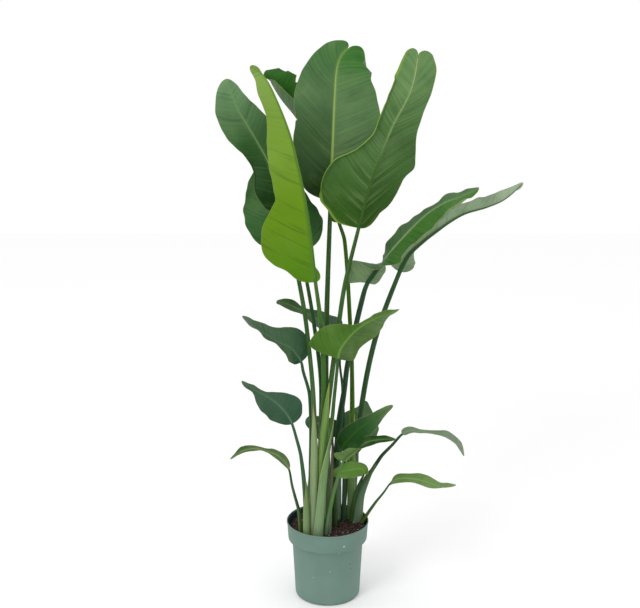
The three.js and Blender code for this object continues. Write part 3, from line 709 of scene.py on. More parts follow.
        left_fold=[[0, 5, 5], [1, 5, 5]], right_fold=[[0, 5, 5], [1, 5, 5]],
        lobe=[2, 2],
        upper=["#3C5C3A", "#446440"], under=["#46604A", "#4F6A50"],
        vein=["#4F6E50", "#5A7A5A"], stem=["#27462F", "#24482A"],
    ),
    "centre_low_pale": dict(
        slot="pale_leaf",
        stalk=[[-6, -54, 190, 7], [9, -60, 280, 5.5], [22, -70, 340, 4.2], [38, -80, 398, 3]],
        rib=[[65, -98, 432], [96, -118, 463], [127, -132, 475], [164, -146, 481]],
        face=[[0, -0.2, 0.9, 0.4], [0.3, -0.5, 0.6, 0.7], [0.55, -0.2, -0.4, 0.9], [1, 0, -0.6, 0.8]],
        left=[14, 20, 22, 20, 16, 12, 6], right=[34, 38, 32, 24, 20, 14, 8],
        left_fold=[[0, 20, 0], [1, 10, 10]],
        lobe=[4, 4],
        upper=["#1C450C", "#0E380E"], under=["#557436", "#597446"],
        vein=["#5F8038", "#5F7F48"], stem=["#62805A", "#4A7038"],
    ),
    "low_bright": dict(
        slot="leaf",
        stalk=[[61, 22, 190, 5], [73, 15, 273, 3.6], [87, 5, 313, 3], [94, -5, 334, 2.5]],
        rib=[[88, -15, 352], [62, -25, 353], [33, -30, 349], [6, -35, 344]],
        face=[[0, 0, -0.8, 0.6], [1, 0, -0.7, 0.7]],
        left=[12, 18, 21, 23, 20, 15, 9], right=[10, 15, 19, 22, 20, 14, 8],
        right_fold=[[0, 10, 0], [1, 10, 10]],
        lobe=[20, 20],
        upper=["#4A731F", "#557E34", "#66893F"], under=["#5F7C4A", "#658058"],
        vein=["#688A3A", "#6F8C58"], stem=["#30551F", "#2C5020"],
    ),
    "right_low": dict(
        slot="pale_leaf",
        stalk=[
            [78, 30, 189, 8.5], [91, 34, 273, 6.5], [138, 48, 357, 5],
            [173, 56, 394, 4.2], [197, 62, 419, 3.5],
        ],
        rib=[
            [221, 70, 426], [251, 80, 420], [281, 88, 413],
            [317, 95, 405], [348, 100, 380], [368, 102, 342],
        ],
        face=[[0, -0.3, -0.5, 0.8], [1, 0.3, -0.5, 0.8]],
        left=[13, 9, 7, 8, 13, 13, 7], right=[12, 8, 6, 7, 11, 11, 6],
        lobe=[10, 10],
        upper=["#6C7F64", "#7C8A76"], under=["#54704E", "#627A5A"],
        vein=["#75906A", "#75906A"], stem=["#24482C", "#2A4C2C"],
    ),
    "right_lowest": dict(
        slot="pale_leaf",
        stalk=[[91, 14, 188, 5.5], [123, -8, 254, 4], [143, -20, 287, 3.4], [163, -35, 324, 3]],
        rib=[[180, -45, 337], [209, -60, 344], [246, -75, 342], [282, -90, 336], [320, -108, 346]],
        face=[[0, -0.2, -0.3, 0.9], [1, 0.1, -0.3, 0.9]],
        left=[14, 18, 20, 20, 17, 12, 7], right=[22, 18, 18, 20, 18, 13, 7],
        lobe=[4, 8],
        upper=["#5B7F3E", "#6B894E"], under=["#547832", "#5F8045"],
        vein=["#7D9A5A", "#75905F"], stem=["#626F22", "#345A2A"],
    ),
    "back_low_left": dict(
        slot="dark_leaf",
        stalk=[[9, 12, 190, 6], [12, 18, 281, 5], [14, 24, 364, 4], [10, 33, 418, 3]],
        rib=[[-10, 49, 440], [-33, 67, 451], [-59, 84, 449]],
        face=[[0, 0, -0.9, 0.5], [1, 0, -0.8, 0.6]],
        left=[26, 30, 30, 30, 26, 22, 14], right=[34, 40, 34, 26, 20, 16, 12],
        left_fold=[[0, 5, 5], [1, 5, 5]], right_fold=[[0, 5, 5], [1, 5, 5]],
        lobe=[2, 2],
        upper=["#234A20", "#2A5028"], under=["#46604A", "#4F6A50"],
        vein=["#4F6E50", "#5A7A5A"], stem=["#2C4E30", "#264A26"],
    ),
}

# Stalks
# Fleshy petioles, smooth and nearly round, grooved along the side that the leaf's upper face looks to.
# Each is drawn as one tube from under the soil to the foot of its blade, paler and bluish at its base.
BURIED = 26
STALK_STEP = 7
STALK_SIDES = 20
# How far from the blade the section flattens into the midrib's, in mm.
FLATTENING = 90


class Curve:
    """A smooth line through all points, in mm, followed by chord length."""

    def __init__(self, points):
        self.points = np.array(points, float)
        gaps = np.linalg.norm(np.diff(self.points, axis=0), axis=1)
        self.knots = np.concatenate([[0], np.cumsum(gaps)])
        last = len(points) - 1
        ends = [(max(i - 1, 0), min(i + 1, last)) for i in range(last + 1)]
        self.slopes = np.array([self.slope(a, b) for a, b in ends])
        self.slopes[0] = 1.5 * self.slope(0, 1) - 0.5 * self.slopes[1]
        self.slopes[last] = 1.5 * self.slope(last - 1, last) - 0.5 * self.slopes[last - 1]

    def slope(self, a, b):
        return (self.points[b] - self.points[a]) / (self.knots[b] - self.knots[a])

    def at(self, lengths):
        """Places and directions at these lengths."""
        lengths = np.asarray(lengths, float)
        i = np.clip(np.searchsorted(self.knots, lengths) - 1, 0, len(self.knots) - 2)
        h = (self.knots[i + 1] - self.knots[i])[:, None]
        s = (lengths - self.knots[i])[:, None] / h
        a, b, m, n = self.points[i], self.points[i + 1], self.slopes[i], self.slopes[i + 1]
        place = (2 * s**3 - 3 * s**2 + 1) * a + h * (s**3 - 2 * s**2 + s) * m
        place += (3 * s**2 - 2 * s**3) * b + h * (s**3 - s**2) * n
        along = (6 * s**2 - 6 * s) / h * (a - b)
        along += (3 * s**2 - 4 * s + 1) * m + (3 * s**2 - 2 * s) * n
        return place, unit(along)


def unit(vectors):
    """Each vector with length 1."""
    return vectors / np.linalg.norm(vectors, axis=-1, keepdims=True)


def smooth_step(values):
    """From 0 to 1 with soft ends."""
    values = np.clip(values, 0, 1)
    return values * values * (3 - 2 * values)


def eased(shares, stations, values):
    """Values given at stations, taken softly from one to the next."""
    result = np.full(len(shares), float(values[0]))
    for i in range(len(stations) - 1):
        span = stations[i + 1] - stations[i]
        result += (values[i + 1] - values[i]) * smooth_step((shares - stations[i]) / span)
    return result


def looking(leaf, shares):
    """The way that the upper face looks at these shares of the blade's length."""
    stations = [face[0] for face in leaf["face"]]
    parts = [eased(shares, stations, [face[i] for face in leaf["face"]]) for i in (1, 2, 3)]
    return np.stack(parts, axis=-1)


def leaf_line(leaf):
    """The leaf's line from under the soil to its tip, and the lengths at which its blade starts and ends."""
    x, y, z, _ = leaf["stalk"][0]
    points = [[x, y, z - BURIED], *[p[:3] for p in leaf["stalk"]], *leaf["rib"]]
    line = Curve(points)
    return line, line.knots[len(leaf["stalk"])], line.knots[-1]


def upright(along, towards):
    """Unit vectors square to the line, as near as can be to a direction, and those to their right."""
    normal = towards - (towards * along).sum(axis=-1, keepdims=True) * along
    normal = unit(normal)
    return normal, np.cross(along, normal)


def grooved_rings(place, across, normal, radius, flat, groove):
    """Rings of a stalk or midrib, round below, flattened and grooved above, and its straight form."""
    angle = np.linspace(0, 2 * math.pi, STALK_SIDES + 1)
    angle[-1] = 0
    x = np.cos(angle)[None, :] * radius[:, None]
    z = np.sin(angle)[None, :] * radius[:, None]
    upper = z > 0
    z = np.where(upper, z * (1 - flat[:, None]), z)
    dip = np.exp(-((x / (0.5 * radius[:, None])) ** 2)) * (groove * radius)[:, None]
    z = np.where(upper, z - dip, z)
    rings = place[:, None] + x[..., None] * across[:, None] + z[..., None] * normal[:, None]
    return rings, x, z


def stalk_material(name, foot, head):
    """Skin of a petiole: waxy, faintly ribbed lengthwise, with a pale bloom at its foot and a few flecks."""
    made, tree, shader = new_material(name, IOR=1.45, Specular_IOR_Level=0.15)
    place = add_node(tree, "Attribute", output="Vector", attribute_name="stalk_place")
    share = add_node(tree, "Attribute", output="Fac", attribute_name="stalk_share")
    stretch = add_node(tree, "Mapping", {"Vector": place, "Scale": (1.0, 1.0, 0.03)})
    ribs = add_node(tree, "TexNoise", {"Vector": stretch, "Scale": 1 / 1.1, "Detail": 3.0})
    flecks = add_node(tree, "TexNoise", {"Vector": place, "Scale": 1 / 2.8, "Detail": 5.0})
    base = tinted(tree, foot, head, share, 0.05, 0.55)
    base = tinted(tree, base, "#7D9570", ribs, 0.5, 0.75, 0.3)
    base = tinted(tree, base, "#16301A", ribs, 0.5, 0.3, 0.4)
    base = tinted(tree, base, "#66663A", flecks, 0.66, 0.76, 0.45)
    rough = add_node(tree, "MapRange", {0: ribs, 1: 0.3, 2: 0.7, 3: 0.38, 4: 0.56}, **SMOOTH)
    feed_shader(tree, shader, base, rough, [0.5, 0.0003, ribs])
    return made


def stalk_radius(leaf, line, lengths):
    """The stalk's radius at these lengths of its line."""
    radii = [leaf["stalk"][0][3], *[point[3] for point in leaf["stalk"]]]
    return np.interp(lengths, line.knots[:len(radii)], radii)


for name, leaf in LEAVES.items():
    line, joint, _ = leaf_line(leaf)
    lengths = np.linspace(4, joint, int(joint / STALK_STEP) + 1)
    place, along = line.at(lengths)
    radius = stalk_radius(leaf, line, lengths)
    normal, across = upright(along, looking(leaf, np.zeros(len(lengths))))
    near = np.clip(1 - (joint - lengths) / FLATTENING, 0, 1)
    rings, x, z = grooved_rings(place, across, normal, radius, 0.15 + 0.5 * near, 0.18 + 0.12 * near)
    bm = bmesh.new()
    straight = np.stack([x, z, np.repeat(lengths[:, None], x.shape[1], axis=1)], axis=-1)
    share = np.repeat((lengths / joint)[:, None], x.shape[1], axis=1)
    layers = {
        bm.verts.layers.float_vector.new("stalk_place"): straight,
        bm.verts.layers.float.new("stalk_share"): share,
    }
    tube(bm, rings, layers)
    skin = stalk_material("petiole_" + name, *leaf["stem"])
    finish_piece(bm, "petiole_" + name, [skin], "stalk_" + name)

# Blades
# Leathery leaf tissue about half a millimetre thick, pleated a little along its many side veins.
# Each blade is one closed sheet laid along its midrib line, folded, waved and rolled; the midrib is a ridge
# under it and a narrow pale groove on top. The margins are thin and pale, and the undersides duller.
SHEET = 0.6
RIB_TIP = 1.2
RIB_DROP = 0.45
RIB_GROOVE = 0.8
# How uneven the margins are, in mm, and over what length.
UNEVEN = 2.2
UNEVEN_LENGTH = 26
RUFFLE_LENGTH = 36
RIPPLE_SHIFT = 1.3
# Side veins leave the midrib at this slope unless the leaf has its own, and bend towards the tip.
VEIN_SLOPE = 0.42
VEIN_BEND = 0.0016
PLEAT = 15
PLEAT_HEIGHT = 0.55
# The pleats drift and swell slowly along the blade, over these lengths in mm.
PLEAT_DRIFT = 41
PLEAT_SWELL = 23
# The narrowest that a half gets in mm, and how much a ruffle's wander is raised.
LEAST_WIDTH = 0.45
RUFFLE_GAIN = 1.6
# Shares of the length over which a rolled margin starts and stops, and from which the tip bulges.
CURL_EASE = 0.06
TIP_FROM = 0.88
# Rows along and columns across each half of a big leaf's mesh and of a small one's.
BIG_MESH = (190, 26)
SMALL_MESH = (90, 16)
# The midrib's ridge ends at this share of the blade's length.
RIB_END = 0.985
# The side veins themselves are about 1.5 mm apart; the streaks that show are groups of them, in mm.
VEIN_GROUP = 6
FINE_VEIN = 2.1


def half_width(leaf, name, shares):
    """Half widths along the midrib: a smooth line through their squares, so that the ends come out round."""
    end = leaf.get("end", [0, 0])[0 if name == "left" else 1]
    stations = leaf.get("at", STATIONS)
    y = np.array([0, *leaf[name], end], float) ** 2
    x = np.array(stations, float)
    steps = np.diff(y) / np.diff(x)
    both = steps[:-1] * steps[1:]
    inner = np.where(both > 0, 2 * both / (steps[:-1] + steps[1:] + 1e-9), 0)
    m = np.concatenate([steps[:1], inner, steps[-1:]])
    i = np.clip(np.searchsorted(x, shares) - 1, 0, len(x) - 2)
    h = x[i + 1] - x[i]
    s = (shares - x[i]) / h
    square = (2 * s**3 - 3 * s**2 + 1) * y[i] + (s**3 - 2 * s**2 + s) * h * m[i]
    square += (3 * s**2 - 2 * s**3) * y[i + 1] + (s**3 - s**2) * h * m[i + 1]
    return np.sqrt(np.maximum(square, 0.2))


def wander(lengths, size, seed):
    """Smooth uneven values, mostly between -0.5 and 0.5, that change over about size."""
    return np.array([noise.noise(Vector((value / size, seed * 7.3, 0.5))) for value in lengths])


def faded(t, steepness):
    """1 along the blade, falling to 0 at both of its ends."""
    return np.clip(steepness * np.minimum(t, 1 - t), 0, 1)


def half_blade(leaf, name, t, length, a, seed):
    """Distances out from the midrib, up from it and ahead, for one half of a blade. t: rows, a: columns."""
    side = 0 if name == "left" else 1
    lengths = t * length
    ends = faded(t, 6)
    wide = half_width(leaf, name, t)
    wide = wide + leaf.get("uneven", UNEVEN) * wander(lengths, UNEVEN_LENGTH, seed + 0.3 * side) * ends
    for cut_side, at, half, depth in leaf.get("cuts", []):
        if cut_side == name:
            wide = wide - depth * np.clip(1 - np.abs(t - at) / half, 0, 1) ** 0.7
    wide = np.maximum(wide, LEAST_WIDTH)
    x = wide[:, None] * a[None, :]

    # Each strip from the midrib to the margin stands at its own angle, and their sum is the folded half.
    shares, feet, edges = zip(*leaf.get(name + "_fold", FOLDS))
    foot = eased(t, shares, feet) * faded(t, 12)
    edge = eased(t, shares, edges) * faded(t, 12)
    angle = foot[:, None] + (edge - foot)[:, None] * a[None, :]
    for curl_side, start, end, width, degrees in leaf.get("curl", []):
        if curl_side == name:
            where = smooth_step((t - start) / CURL_EASE) * smooth_step((end - t) / CURL_EASE)
            angle = angle + degrees * where[:, None] * smooth_step(1 - (wide[:, None] - x) / width)
    middle = np.radians((angle[:, 1:] + angle[:, :-1]) / 2)
    step = np.diff(x, axis=1)
    zero = np.zeros((len(t), 1))
    out = np.concatenate([zero, np.cumsum(np.cos(middle) * step, axis=1)], axis=1)
    up = np.concatenate([zero, np.cumsum(np.sin(middle) * step, axis=1)], axis=1)

    # Waves and ruffles lift the margin; pleats follow the side veins, and the midrib lies in a groove.
    height, number, start = leaf.get("wave", WAVE)
    wave = height * np.sin(math.pi * number * t + start + RIPPLE_SHIFT * side) * ends
    ruffle = RUFFLE_GAIN * wander(lengths, RUFFLE_LENGTH, seed + 0.5 + 0.3 * side) * ends
    ruffle = leaf.get("ruffle", 1.5) * ruffle
    up = up + wave[:, None] * a[None, :] ** 2 + ruffle[:, None] * a[None, :] ** 3
    slope = leaf.get("slope", [VEIN_SLOPE, VEIN_SLOPE])[side]
    vein = lengths[:, None] - slope * x - VEIN_BEND * x**2
    ridge = np.sin(2 * math.pi * vein / PLEAT + 2.2 * np.sin(vein / PLEAT_DRIFT) + side)
    swell = 0.7 + 0.3 * np.sin(vein / PLEAT_SWELL + seed)
    within = smooth_step(x / 14) * smooth_step(1.15 - a[None, :]) * swell
    up = up + PLEAT_HEIGHT * ridge * within - RIB_GROOVE * np.exp(-((x / 2.5) ** 2)) * ends[:, None]

    # The margin reaches back in a lobe at the foot, and ahead of the midrib at a blunt tip.
    grown = np.minimum(1, (wide / leaf[name][0]) ** 2)
    back = leaf["lobe"][side] * (1 - t) ** 8 * grown
    lobe = np.sin(math.pi * a**0.85).clip(0) ** 0.6
    tip = leaf.get("tip", [0, 0])[side] * smooth_step((t - TIP_FROM) / (1 - TIP_FROM))
    ahead = tip[:, None] * lobe[None, :] - back[:, None] * a[None, :] ** 2
    return out, up, ahead, x, wide, vein


def thin_sheet(bm, upper, lower, layers):
    """A closed sheet between two grids of points in mm. layers: its attributes above and below."""
    rows, columns = upper.shape[0] - 1, upper.shape[1] - 1
    number = bm.verts.layers.int.new("number")
    corners = numbered_grid(bm, rows, columns)
    for i, corner in enumerate(corners):
        corner[number] = i
    faces = list({face for corner in corners for face in corner.link_faces})
    edges = list({edge for corner in corners for edge in corner.link_edges})
    drawn = bmesh.ops.extrude_face_region(bm, geom=corners + edges + faces, use_keep_orig=True)["geom"]
    above = [part for part in drawn if isinstance(part, bmesh.types.BMVert)]
    for group, points, which in ((corners, lower, 1), (above, upper, 0)):
        flat = points.reshape(-1, 3) * MM
        values = {layer: pair[which].reshape(len(flat), -1) for layer, pair in layers.items()}
        for corner in group:
            i = corner[number]
            corner.co = flat[i]
            for layer, value in values.items():
                corner[layer] = value[i] if value.shape[1] > 1 else value[i][0]
    bm.verts.layers.int.remove(number)
    bmesh.ops.recalc_face_normals(bm, faces=bm.faces[:])


def blade_material(name, leaf, seed):
    """Living leaf: waxy above, dull and paler below, streaked along its side veins, with a thin margin."""
    made, tree, shader = new_material(name, IOR=1.45, Specular_IOR_Level=0.15)
    place = add_node(tree, "Attribute", output="Vector", attribute_name="blade_place")
    place = add_node(tree, "SeparateXYZ", {0: place}).node.outputs
    share = add_node(tree, "Attribute", output="Vector", attribute_name="blade_share")
    share = add_node(tree, "SeparateXYZ", {0: share}).node.outputs
    below = share["X"]
    x = add_node(tree, "Math", {0: place["X"]}, operation="ABSOLUTE")
    edge = add_node(tree, "Math", {0: place["Z"], 1: x}, operation="SUBTRACT")
    here = add_node(tree, "TexCoord", output="Object")
    cloud = add_node(tree, "TexNoise", {"Vector": here, "Scale": 1 / (70 * MM), "Detail": 3.0})
    drift = add_node(tree, "TexNoise", {"Vector": here, "Scale": 1 / (38 * MM), "Detail": 2.0})
    worn = add_node(tree, "TexNoise", {"Vector": here, "Scale": 1 / (22 * MM), "Detail": 4.0})
    vein = add_node(tree, "Math", {0: drift, 1: 5.0, 2: place["Y"]}, operation="MULTIPLY_ADD")
    across = add_node(tree, "Math", {0: x, 1: 0.05}, operation="MULTIPLY")
    along = add_node(tree, "CombineXYZ", {0: vein, 1: across, 2: float(seed)})
    streaks = add_node(tree, "TexNoise", {"Vector": along, "Scale": 1 / VEIN_GROUP, "Detail": 4.0})
    turns = add_node(tree, "Math", {0: vein, 1: 2 * math.pi / FINE_VEIN}, operation="MULTIPLY")
    fine = add_node(tree, "Math", {0: turns}, operation="SINE")

    upper = graded(tree, share["Y"], leaf["upper"])
    if "upper_right" in leaf:
        right = graded(tree, share["Y"], leaf["upper_right"])
        upper = tinted(tree, upper, right, place["X"], -1.0, 1.0)
    under = graded(tree, share["Y"], leaf["under"])
    base = add_node(tree, "Mix", {0: below, MIX_A: upper, MIX_B: under}, **COLOURS)
    strong = leaf.get("cloud", 1.0)
    base = tinted(tree, base, "#8CA468", cloud, 0.5, 0.8, 0.16 * strong)
    base = tinted(tree, base, "#0F2E10", cloud, 0.5, 0.25, 0.25 * strong)
    # Pale streaks along the side veins; the dark streaks are partly darker tissue between veins, partly
    # painted shade in the pleats' creases.
    base = tinted(tree, base, leaf["vein"][0], streaks, 0.52, 0.78, 0.15)
    base = tinted(tree, base, "#0F2E10", streaks, 0.47, 0.28, 0.34)
    base = tinted(tree, base, leaf["vein"][1], fine, 0.2, 1.0, 0.05)
    # Below, a pale grey wash along the streaks near the midrib: partly the underside's waxy bloom, partly a
    # painted sheen.
    bloom_and_sheen = add_node(tree, "MapRange", {0: streaks, 1: 0.45, 2: 0.65}, **SMOOTH)
    bloom_and_sheen = add_node(tree, "Math", {0: bloom_and_sheen, 1: below}, operation="MULTIPLY")
    base = tinted(tree, base, "#8FA283", x, 70.0, 4.0, 0.11, bloom_and_sheen)
    base = tinted(tree, base, leaf["vein"][0], x, 7.0, 1.5, 0.22)

    # The pale line over the midrib narrows and fades on its way to the tip.
    line = add_node(tree, "Math", {0: 1.0, 1: share["Y"]}, operation="SUBTRACT", use_clamp=True)
    line = add_node(tree, "Math", {0: line, 1: 1.3}, operation="POWER")
    line = add_node(tree, "Math", {0: line, 1: 2.4, 2: 0.8}, operation="MULTIPLY_ADD")
    line = add_node(tree, "Math", {0: line, 1: leaf.get("rib_line", 1.0)}, operation="MULTIPLY")
    line = add_node(tree, "Math", {0: line, 1: x}, operation="SUBTRACT")
    fading = add_node(tree, "MapRange", {0: share["Y"], 1: 0.95, 2: 0.76, 3: 0.3}, **SMOOTH)
    inputs = {0: below, MIX_A: linear(leaf["vein"][0]), MIX_B: linear(leaf["vein"][1])}
    rib = add_node(tree, "Mix", inputs, **COLOURS)
    base = tinted(tree, base, rib, line, -0.25, 0.25, 0.85, fading)

    base = tinted(tree, base, "#7D8654", edge, 1.3, 0.4, 0.7)
    if "margin" in leaf:
        colour, reach, side = leaf["margin"]
        inwards = add_node(tree, "MapRange", {0: edge, 1: reach, 2: 0.5 * reach}, **SMOOTH)
        base = tinted(tree, base, colour, place["X"], 0.0, side, 0.8, inwards)
    rim = add_node(tree, "MapRange", {0: edge, 1: 2.4, 2: 0.8}, **SMOOTH)
    base = tinted(tree, base, "#6E5F33", worn, 0.6, 0.68, within=rim)
    gloss = add_node(tree, "MapRange", {0: cloud, 1: 0.3, 2: 0.7, 3: 0.42, 4: 0.52}, **SMOOTH)
    rough = add_node(tree, "Math", {0: below, 1: 0.12, 2: gloss}, operation="MULTIPLY_ADD")
    relief = add_node(tree, "Math", {0: fine, 1: 0.12, 2: streaks}, operation="MULTIPLY_ADD")
    feed_shader(tree, shader, base, rough, [0.45, 0.0008, relief])
    return made


def midrib_material(name, leaf):
    """Midrib: fleshy like the stalk, with fine lengthwise lines."""
    made, tree, shader = new_material(name, IOR=1.45, Specular_IOR_Level=0.15)
    share = add_node(tree, "Attribute", output="Vector", attribute_name="blade_share")
    share = add_node(tree, "SeparateXYZ", {0: share}).node.outputs
    place = add_node(tree, "Attribute", output="Vector", attribute_name="blade_place")
    stretch = add_node(tree, "Mapping", {"Vector": place, "Scale": (1.0, 0.03, 1.0)})
    lines = add_node(tree, "TexNoise", {"Vector": stretch, "Scale": 1 / 0.9, "Detail": 3.0})
    above = tinted(tree, leaf["stem"][1], leaf["vein"][0], share["Y"], 0.0, 0.12)
    under = graded(tree, share["Y"], leaf.get("rib_under", [leaf["stem"][1], leaf["vein"][1]]))
    base = add_node(tree, "Mix", {0: share["X"], MIX_A: above, MIX_B: under}, **COLOURS)
    base = tinted(tree, base, "#234A1C", lines, 0.5, 0.3, 0.3)
    rough = add_node(tree, "MapRange", {0: lines, 1: 0.3, 2: 0.7, 3: 0.42, 4: 0.55}, **SMOOTH)
    feed_shader(tree, shader, base, rough)
    return made


def blade(name, leaf, seed):
    """One blade with its midrib."""
    line, joint, whole = leaf_line(leaf)
    length = whole - joint
    rows, columns = BIG_MESH if leaf.get("big") else SMALL_MESH
    share = np.linspace(0, 1, rows + 1)
    t = (share + (1 - np.cos(math.pi * share)) / 2) / 2
    a = np.linspace(0, 1, columns + 1) ** 1.25
    place, along = line.at(joint + t * length)
    normal, across = upright(along, looking(leaf, t))

    # The two halves, joined along the midrib.
    halves = []
    for side, which in ((-1, "left"), (1, "right")):
        out, up, ahead, x, wide, vein = half_blade(leaf, which, t, length, a, seed)
        points = place[:, None] + side * out[..., None] * across[:, None]
        points = points + up[..., None] * normal[:, None] + ahead[..., None] * along[:, None]
        widths = np.repeat(wide[:, None], x.shape[1], axis=1)
        halves.append((points, np.stack([side * x, vein, widths], axis=-1)))
    points = np.concatenate([halves[0][0][:, ::-1], halves[1][0][:, 1:]], axis=1)
    places = np.concatenate([halves[0][1][:, ::-1], halves[1][1][:, 1:]], axis=1)

    # The sheet gets half its thickness on each side, square to its surface.
    face_normal = np.cross(np.gradient(points, axis=1), np.gradient(points, axis=0))
    size = np.linalg.norm(face_normal, axis=-1, keepdims=True)
    face_normal = np.where(size > 1e-6, face_normal / np.maximum(size, 1e-6), normal[:, None])
    bm = bmesh.new()
    place_layer = bm.verts.layers.float_vector.new("blade_place")
    share_layer = bm.verts.layers.float_vector.new("blade_share")
    shares = np.zeros_like(places)
    shares[..., 1] = t[:, None]
    below = shares.copy()
    below[..., 0] = 1
    offset = face_normal * SHEET / 2
    layers = {place_layer: (places, places), share_layer: (shares, below)}
    thin_sheet(bm, points + offset, points - offset, layers)

    # The midrib's ridge, a tube let into the sheet's underside.
    t = np.linspace(0, RIB_END, rows // 2)
    place, along = line.at(joint + t * length)
    normal, across = upright(along, looking(leaf, t))
    foot = leaf["stalk"][-1][3]
    radius = RIB_TIP + (foot - RIB_TIP) * (1 - t) ** 1.3
    limit = np.minimum(half_width(leaf, "left", t), half_width(leaf, "right", t)) * 0.9
    radius = np.where(t > 0.5, np.minimum(radius, limit), radius)
    place = place - normal * (RIB_DROP * radius * smooth_step(t / 0.06))[:, None]
    level = np.clip(t / 0.2, 0, 1)
    rings, x, z = grooved_rings(place, across, normal, radius, 0.65 + 0.15 * level, np.full(len(t), 0.3))
    places = np.stack([x, np.repeat((t * length)[:, None], x.shape[1], axis=1), z], axis=-1)
    shares = np.stack([np.clip(0.5 - z, 0, 1), np.repeat(t[:, None], x.shape[1], axis=1), z], axis=-1)
    tube(bm, rings, {place_layer: places, share_layer: shares}, 1)
    materials = [blade_material("leaf_" + name, leaf, seed), midrib_material("midrib_" + name, leaf)]
    finish_piece(bm, "leaf_" + name, materials, "blade_" + name)


for seed, (name, leaf) in enumerate(LEAVES.items(), 1):
    blade(name, leaf, seed)

# Sheaths
# The stalks' clasping feet: thin pale sheets that wrap the clump and run out to a point, with dry margins.
# Each is a closed sheet bent round its own stalk; one is old, brown and speckled, and stands by itself.

# name: [height of its tip in mm, the way it faces in degrees, degrees that it wraps, how far its foot
# flares in mm, colours of body and margin].
SHEATHS = {
    "left_top": [538, -100, 220, 2.5, "#7E9464", "#7D6F33"],
    "right_top": [592, -120, 250, 5, "#678A40", "#8F9A3E"],
    "centre_mid": [505, -40, 210, 3, "#658450", "#8F9F68"],
    "back_top": [480, -45, 180, 3, "#577F2C", "#96924A"],
    "left_low": [342, -40, 200, 3, "#5C7832", "#7D8654"],
    "left_mid": [400, -80, 180, 1, "#456046", "#6A7A52"],
    "right_mid": [380, -60, 180, 2, "#46604A", "#5F7052"],
    "right_far": [380, -60, 180, 2, "#46604A", "#5F7052"],
    "right_low": [345, -110, 220, 6, "#35592F", "#5F7A4A"],
}
DRY_SHEATH = [[5, -50, 186], [9, -52, 350], [13, -49, 505]]
DRY_RADIUS = 4.2
SHEATH_ROWS = 60
SHEATH_COLUMNS = 16
SHEATH_GAP = 0.5
SHEATH_SHEET = 0.8


def sheath_material(name, body, margin):
    """Sheath: dull and fibrous, ribbed lengthwise, with a thin dry margin and a few brown flecks."""
    made, tree, shader = new_material(name, IOR=1.45, Specular_IOR_Level=0.25)
    place = add_node(tree, "Attribute", output="Vector", attribute_name="sheath_place")
    parts = add_node(tree, "SeparateXYZ", {0: place}).node.outputs
    stretch = add_node(tree, "Mapping", {"Vector": place, "Scale": (1.0, 0.02, 0.0)})
    ribs = add_node(tree, "TexNoise", {"Vector": stretch, "Scale": 1 / 1.6, "Detail": 3.0})
    flecks = add_node(tree, "TexNoise", {"Vector": place, "Scale": 1 / 3.0, "Detail": 4.0})
    base = tinted(tree, body, "#8D9F8C", parts["Y"], 210.0, 20.0, 0.3)
    base = tinted(tree, base, "#93A585", ribs, 0.5, 0.7, 0.35)
    base = tinted(tree, base, "#34502E", ribs, 0.5, 0.3, 0.4)
    base = tinted(tree, base, "#5A4A2C", flecks, 0.64, 0.7, 0.6)
    base = tinted(tree, base, margin, parts["Z"], 2.2, 0.8, 0.85)
    rough = add_node(tree, "MapRange", {0: ribs, 1: 0.3, 2: 0.7, 3: 0.5, 4: 0.65}, **SMOOTH)
    feed_shader(tree, shader, base, rough, [0.5, 0.0004, ribs])
    return made


def sheath(name, line, lengths, radius, facing, wrap, body, margin):
    """One sheath, wrapped round a line between two lengths and drawn to a point."""
    u = np.linspace(0, 1, len(lengths))
    place, along = line.at(lengths)
    way = math.radians(facing)
    normal, across = upright(along, np.array([math.cos(way), math.sin(way), 0.0]))
    half = math.radians(wrap / 2) * np.clip((1 - u) / 0.5, 0, 1) ** 0.8
    half = np.maximum(half, 0.08)
    angle = half[:, None] * np.linspace(-1, 1, SHEATH_COLUMNS + 1)[None, :]
    way_out = np.cos(angle)[..., None] * normal[:, None] + np.sin(angle)[..., None] * across[:, None]
    inner = place[:, None] + way_out * radius[:, None, None]
    outer = inner + way_out * SHEATH_SHEET
    far = np.repeat(lengths[:, None], angle.shape[1], axis=1)
    rim = (half[:, None] - np.abs(angle)) * radius[:, None]
    places = np.stack([angle * radius[:, None], far, rim], axis=-1)
    bm = bmesh.new()
    layer = bm.verts.layers.float_vector.new("sheath_place")
    thin_sheet(bm, outer, inner, {layer: (places, places)})
    finish_piece(bm, "sheath_" + name, [sheath_material("sheath_" + name, body, margin)])


for name, (top, facing, wrap, flare, body, margin) in SHEATHS.items():
    leaf = LEAVES[name]
    line, joint, _ = leaf_line(leaf)
    fine = np.linspace(0, joint, 400)
    reach = np.interp(top, line.at(fine)[0][:, 2], fine)
    lengths = np.linspace(BURIED * 0.5, reach, SHEATH_ROWS + 1)
    radius = stalk_radius(leaf, line, lengths) + SHEATH_GAP
    radius = radius + flare * np.linspace(1, 0, len(lengths)) ** 0.8
    sheath(name, line, lengths, radius, facing, wrap, body, margin)

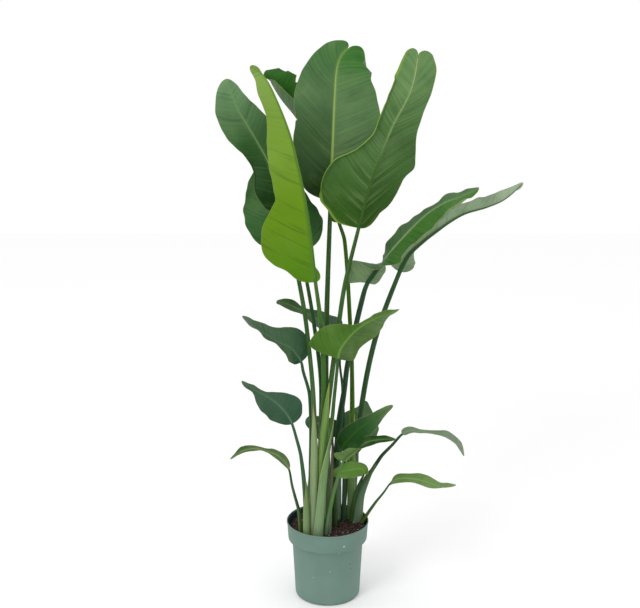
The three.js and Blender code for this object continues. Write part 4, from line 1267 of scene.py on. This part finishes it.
line = Curve(DRY_SHEATH)
lengths = np.linspace(0, line.knots[-1], SHEATH_ROWS + 1)
sheath("dry", line, lengths, np.full(len(lengths), DRY_RADIUS), -80, 115, "#4E4F36", "#4A3F2A")

# Floor and light
# A plain pale floor that runs out of sight, a white surround and one wide soft lamp from the front left.
FLOOR_SIZE = 12
WHITE = 0.97

floor_paint, tree, shader = new_material("pale_floor", Roughness=0.9)
shader.inputs["Base Color"].default_value = (WHITE, WHITE, WHITE, 1)
bm = bmesh.new()
bmesh.ops.create_grid(bm, x_segments=1, y_segments=1, size=FLOOR_SIZE / 2)
floor_mesh = bpy.data.meshes.new("floor")
bm.to_mesh(floor_mesh)
bm.free()
floor_mesh.materials.append(floor_paint)
floor = bpy.data.objects.new("floor", floor_mesh)
bpy.context.scene.collection.objects.link(floor)

world = bpy.data.worlds.new("white_surround")
world.use_nodes = True
world.node_tree.nodes["Background"].inputs["Color"].default_value = (1, 1, 1, 1)
world.node_tree.nodes["Background"].inputs["Strength"].default_value = 1.0
bpy.context.scene.world = world


def soft_lamp(name, place, target, size, watts):
    """A square soft lamp at a place, turned to a target."""
    data = bpy.data.lights.new(name, "AREA")
    data.size = size
    data.energy = watts
    lamp = bpy.data.objects.new(name, data)
    lamp.location = place
    lamp.rotation_euler = (Vector(target) - Vector(place)).to_track_quat("-Z", "Y").to_euler()
    bpy.context.scene.collection.objects.link(lamp)


soft_lamp("key_lamp", (-1.6, -2.2, 3.0), (0, 0, 0.8), 1.2, 36)

# Camera
# It stands as the photo's did: at the height of the upper leaves, looking a little down.
# The place is in metres, the lens and the sensor in mm.
TILT = 12.9
camera_data = bpy.data.cameras.new("camera")
camera_data.sensor_width = 36
camera_data.lens = 59.74
camera = bpy.data.objects.new("camera", camera_data)
camera.location = (-0.020, -2.595, 1.380)
camera.rotation_euler = (math.radians(90 - TILT), 0, 0)
bpy.context.scene.collection.objects.link(camera)
bpy.context.scene.camera = camera
bpy.context.scene.view_settings.view_transform = "Standard"
